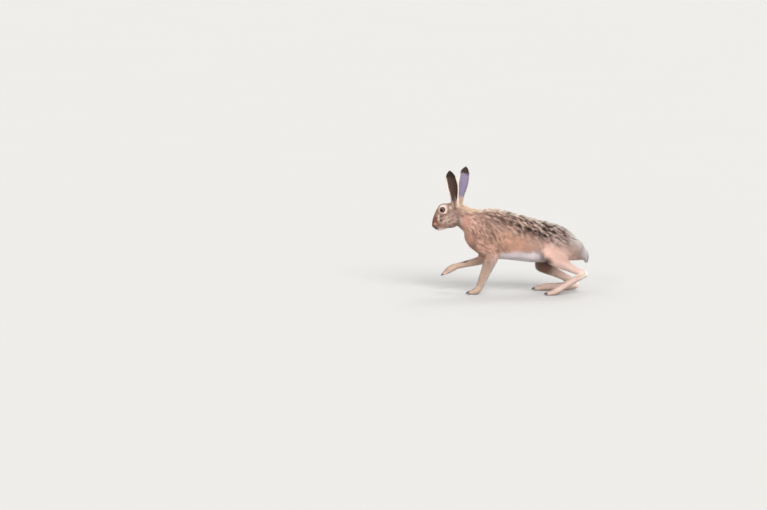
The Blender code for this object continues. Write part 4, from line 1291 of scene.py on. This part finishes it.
class HARE_OT_eyes(bpy.types.Operator):
    """Both eyes, with a raised cornea, and the rim of lids round each"""

    bl_idname = "hare.eyes"
    bl_label = "Eyes"

    def execute(self, context):
        for side in SIDES:
            eye = eye_axes(side)
            self.ball(side, eye)
            self.lid_coat(side, eye, self.lids(side, eye))
        return {"FINISHED"}

    def ball(self, side, eye):
        form = bmesh.new()
        bmesh.ops.create_uvsphere(form, u_segments=48, v_segments=32, radius=EYE_RADIUS)
        for vert in form.verts:
            off = vert.co.angle(Vector((0, 0, 1)))
            vert.co *= 1 + CORNEA_RISE * max(0.0, 1 - (off / CORNEA_REACH) ** 2)
        ball = put(f"eyeball_{side}", eye_mesh(form, eye, f"eyeball_{side}"), eye_finish(side))
        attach(ball, "root")
        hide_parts(f"eye_{side}")

    def lids(self, side, eye):
        form = bmesh.new()
        section = [(math.radians(degrees), reach * EYE_RADIUS) for degrees, reach in LID_SECTION]
        verts = [form.verts.new((math.sin(back) * away, 0, math.cos(back) * away)) for back, away in section]
        edges = [form.edges.new((verts[i - 1], verts[i])) for i in range(len(verts))]
        whole = {"axis": (0, 0, 1), "angle": 2 * math.pi, "steps": 56, "use_merge": True}
        bmesh.ops.spin(form, geom=verts + edges, cent=(0, 0, 0), **whole)
        bmesh.ops.remove_doubles(form, verts=form.verts, dist=1e-6)
        for vert in form.verts:
            turn = math.atan2(vert.co.y, vert.co.x)
            long_way = abs(math.cos(turn)) ** 3
            open_more = 1 + OPEN_LONG * long_way - OPEN_LOW * math.sin(turn)
            vert.co.x *= open_more
            vert.co.y *= open_more
            vert.co.z -= EYE_RADIUS * CORNERS_BACK * long_way
        mesh = eye_mesh(form, eye, f"eyelids_{side}")
        lids = put(f"eyelids_{side}", mesh, bpy.data.materials.get("eyelid") or lid_finish())
        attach(lids, "root")
        return mesh

    def lid_coat(self, side, eye, mesh):
        """The shortest hair, on the lids behind their bare margin."""
        centre, looks = np.array(eye.centre), np.array(eye.looks)
        draw = np.random.default_rng(sizes().seed + 400 + SIGN[side])
        places, normals = places_of(mesh), normals_of(mesh)
        corners = settled(triangles_of(mesh)[0])
        away = places[corners].mean(axis=1) - centre
        facing = unit(away) @ looks
        outer = np.linalg.norm(away, axis=1) > LID_OUTSIDE * EYE_RADIUS
        corners = corners[outer & (facing < math.cos(BARE_MARGIN)) & (facing > LID_BACK)]
        roots, outs = sown(places, normals, corners, LID_HAIRS / MM**2, draw)
        from_axis = unit(roots - centre - looks * ((roots - centre) @ looks)[:, None])
        ways = laid_down(unit(from_axis + lie_at(roots)[0] * 0.8), outs)
        count = len(roots)
        ways = turned_ways(ways, outs, draw.normal(0, SHORT_TURN, count))
        lengths = draw.uniform(*LID_HAIR_LENGTHS, count)
        widths = draw.uniform(*LID_HAIR_WIDTHS, count)
        arrays = lock_arrays(roots, ways, outs, lengths, widths, lengths * LEAN, draw.uniform(size=count))
        spots = unwrapped(places, corners, roots)
        lock_piece(f"eyelid_coat_{side}", coat_finish(), "face_fur", roots, arrays, spots)


# Where the whiskers grow: three rows of four, in millimetres.
WHISKER_ROOTS = [
    (-255 + 4.2 * place + 0.8 * row, 9.5 + 1.6 * place, 233 - 3.6 * row)
    for row in range(3)
    for place in range(4)
]
WHISKER_WIDTH = 0.0004


def whisker_finish():
    """Stiff hair that turns from brown at its root to cream."""
    c = colours()
    made = Finish("whisker")
    along = made.parts_of(made.attribute("strand"))[1]
    colour = made.mix(made.ramp(along, 0.1, 0.5), c.brown, c.cream)
    return made.principled({"Base Color": colour, "Roughness": 0.35})


class HARE_OT_whiskers(bpy.types.Operator):
    """The whiskers on both sides of the muzzle"""

    bl_idname = "hare.whiskers"
    bl_label = "Whiskers"

    def execute(self, context):
        finish = whisker_finish()
        tree = tree_of(bpy.data.objects["skin"].data)
        draw = np.random.default_rng(sizes().seed + 300)
        count = len(WHISKER_ROOTS)
        for side in SIDES:
            sign = SIGN[side]
            roots, ways, lengths = [], [], []
            for x, y, z in WHISKER_ROOTS:
                roots.append(tuple(tree.find_nearest(Vector((x, y * sign, z)) * MM)[0]))
                ways.append((0.45 + draw.uniform(-0.25, 0.35), sign, draw.uniform(-0.35, 0.15)))
                lengths.append(sizes().whisker * draw.uniform(0.65, 1.0))
            roots, ways, lengths = np.array(roots), unit(np.array(ways)), np.array(lengths)
            outs = unit(np.array([(0.25, 0.0, -1.0)] * count))
            widths = np.full(count, WHISKER_WIDTH)
            chances = draw.uniform(size=count)
            arrays = lock_arrays(roots, ways, outs, lengths, widths, lengths * LEAN, chances, WHISKER_RINGS)
            spots = np.stack([np.linspace(0.1, 0.9, count), np.full(count, 0.5)], axis=1)
            lock_piece(f"whiskers_{side}", finish, "face_fur", roots, arrays, spots)
        return {"FINISHED"}


class HARE_OT_claws(bpy.types.Operator):
    """A finish of dark horn, with growth lines, for the claws"""

    bl_idname = "hare.claws"
    bl_label = "Claws"

    def execute(self, context):
        c = colours()
        made = Finish("horn")
        grain = made.noise(made.vector("MULTIPLY", made.object_place(), (1.0, 5.0, 5.0)), 300, 2.0)
        colour = made.mix(made.ramp(grain, 0.35, 0.7), c.black, c.brown)
        bump = made.bump(grain, 0.3, 0.0002)
        finish = made.principled({"Base Color": colour, "Roughness": 0.38, "Normal": bump})
        for name, node in NODES.items():
            if name.startswith("claw_"):
                node.data.materials.clear()
                node.data.materials.append(finish)
        return {"FINISHED"}


# Each far lamp: its name, where it stands, how many degrees wide it is seen, and its power.
LAMPS = (
    ("key", (0.9, -2.1, 1.8), 35.0, 3.7),
    ("rim", (0.5, 1.6, 2.2), 25.0, 0.8),
    ("glint", (-1.3, -2.6, 1.7), 8.0, 0.4),
)
LIT = Vector((0, 0, 0.2))

# The sky's colour and strength, how wide the floor is, and how far under the soles it lies.
SKY, SKY_STRENGTH = (1.0, 0.99, 0.97, 1.0), 0.99
FLOOR_REACH, FLOOR_DROP = 70.0, 0.0002

# The middle of the camera's view, and its sensor's width in millimetres.
AIM = Vector((-0.425, 0.0, 0.127))
SENSOR = 36.0


class HARE_OT_stage(bpy.types.Operator):
    """A pale floor under a pale sky, soft studio lights, and the camera at the photograph's angle"""

    bl_idname = "hare.stage"
    bl_label = "Stage"

    def execute(self, context):
        c = colours()
        form = bmesh.new()
        bmesh.ops.create_circle(form, cap_ends=True, segments=64, radius=FLOOR_REACH)
        bmesh.ops.translate(form, vec=(0, 0, -FLOOR_DROP), verts=form.verts)
        made = Finish("floor")
        cloud = made.noise(made.object_place(), 2.0, 3.0)
        shade = made.mix(cloud, c.floor, [v * 0.985 for v in c.floor])
        floor = put("floor", mesh_of(form, "floor"), made.principled({"Base Color": shade, "Roughness": 0.9}))
        floor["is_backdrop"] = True
        world = bpy.data.worlds.new("studio")
        context.scene.world = world
        world.use_nodes = True
        background = world.node_tree.nodes["Background"]
        background.inputs["Color"].default_value = SKY
        background.inputs["Strength"].default_value = SKY_STRENGTH
        for lamp in LAMPS:
            self.light(*lamp)
        self.camera(context)
        return {"FINISHED"}

    def light(self, name, place, width, power):
        lamp = bpy.data.lights.new(name, "SUN")
        lamp.angle = math.radians(width)
        lamp.energy = power
        obj = bpy.data.objects.new(name, lamp)
        obj.location = place
        obj.rotation_euler = (LIT - Vector(place)).to_track_quat("-Z", "Y").to_euler()
        bpy.context.scene.collection.objects.link(obj)

    def camera(self, context):
        s = sizes()
        lens = bpy.data.cameras.new("camera")
        lens.sensor_width = SENSOR
        lens.lens = SENSOR * s.camera_away / s.view_width
        lens.clip_start, lens.clip_end = 1.0, 300.0
        obj = bpy.data.objects.new("camera", lens)
        back = Vector((0, -math.cos(s.camera_rise), math.sin(s.camera_rise)))
        obj.location = AIM + back * s.camera_away
        obj.rotation_euler = (-back).to_track_quat("-Z", "Y").to_euler()
        context.scene.collection.objects.link(obj)
        context.scene.camera = obj
        context.scene.view_settings.view_transform = "Standard"


class HARE_PT_panel(bpy.types.Panel):
    """Lists the pieces of the hare in the order in which they are made."""

    bl_label = "Brown Hare"
    bl_idname = "HARE_PT_panel"
    bl_space_type = "VIEW_3D"
    bl_region_type = "UI"
    bl_category = "Hare"

    def draw(self, context):
        for operator in OPERATORS:
            self.layout.operator(operator.bl_idname)
        for group in (context.scene.hare_sizes, context.scene.hare_colours):
            for name in group.__annotations__:
                self.layout.prop(group, name)


OPERATORS = (
    HARE_OT_stage,
    HARE_OT_skin,
    HARE_OT_eyes,
    HARE_OT_coat,
    HARE_OT_ears,
    HARE_OT_whiskers,
    HARE_OT_claws,
)
CLASSES = (HareSizes, HareColours, *OPERATORS, HARE_PT_panel)


def register():
    for kind in CLASSES:
        bpy.utils.register_class(kind)
    bpy.types.Scene.hare_sizes = bpy.props.PointerProperty(type=HareSizes)
    bpy.types.Scene.hare_colours = bpy.props.PointerProperty(type=HareColours)


def unregister():
    del bpy.types.Scene.hare_colours
    del bpy.types.Scene.hare_sizes
    for kind in reversed(CLASSES):
        bpy.utils.unregister_class(kind)


def main():
    register()
    bpy.ops.hare.stage()
    bpy.ops.hare.skin()
    bpy.ops.hare.eyes()
    bpy.ops.hare.coat()
    bpy.ops.hare.ears()
    bpy.ops.hare.whiskers()
    bpy.ops.hare.claws()
    boxes = {"solids": SOLID_BOX, "visual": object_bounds()}
    {name: [list(corner) for corner in box] for name, box in boxes.items()}


if __name__ == "__main__":
    main()
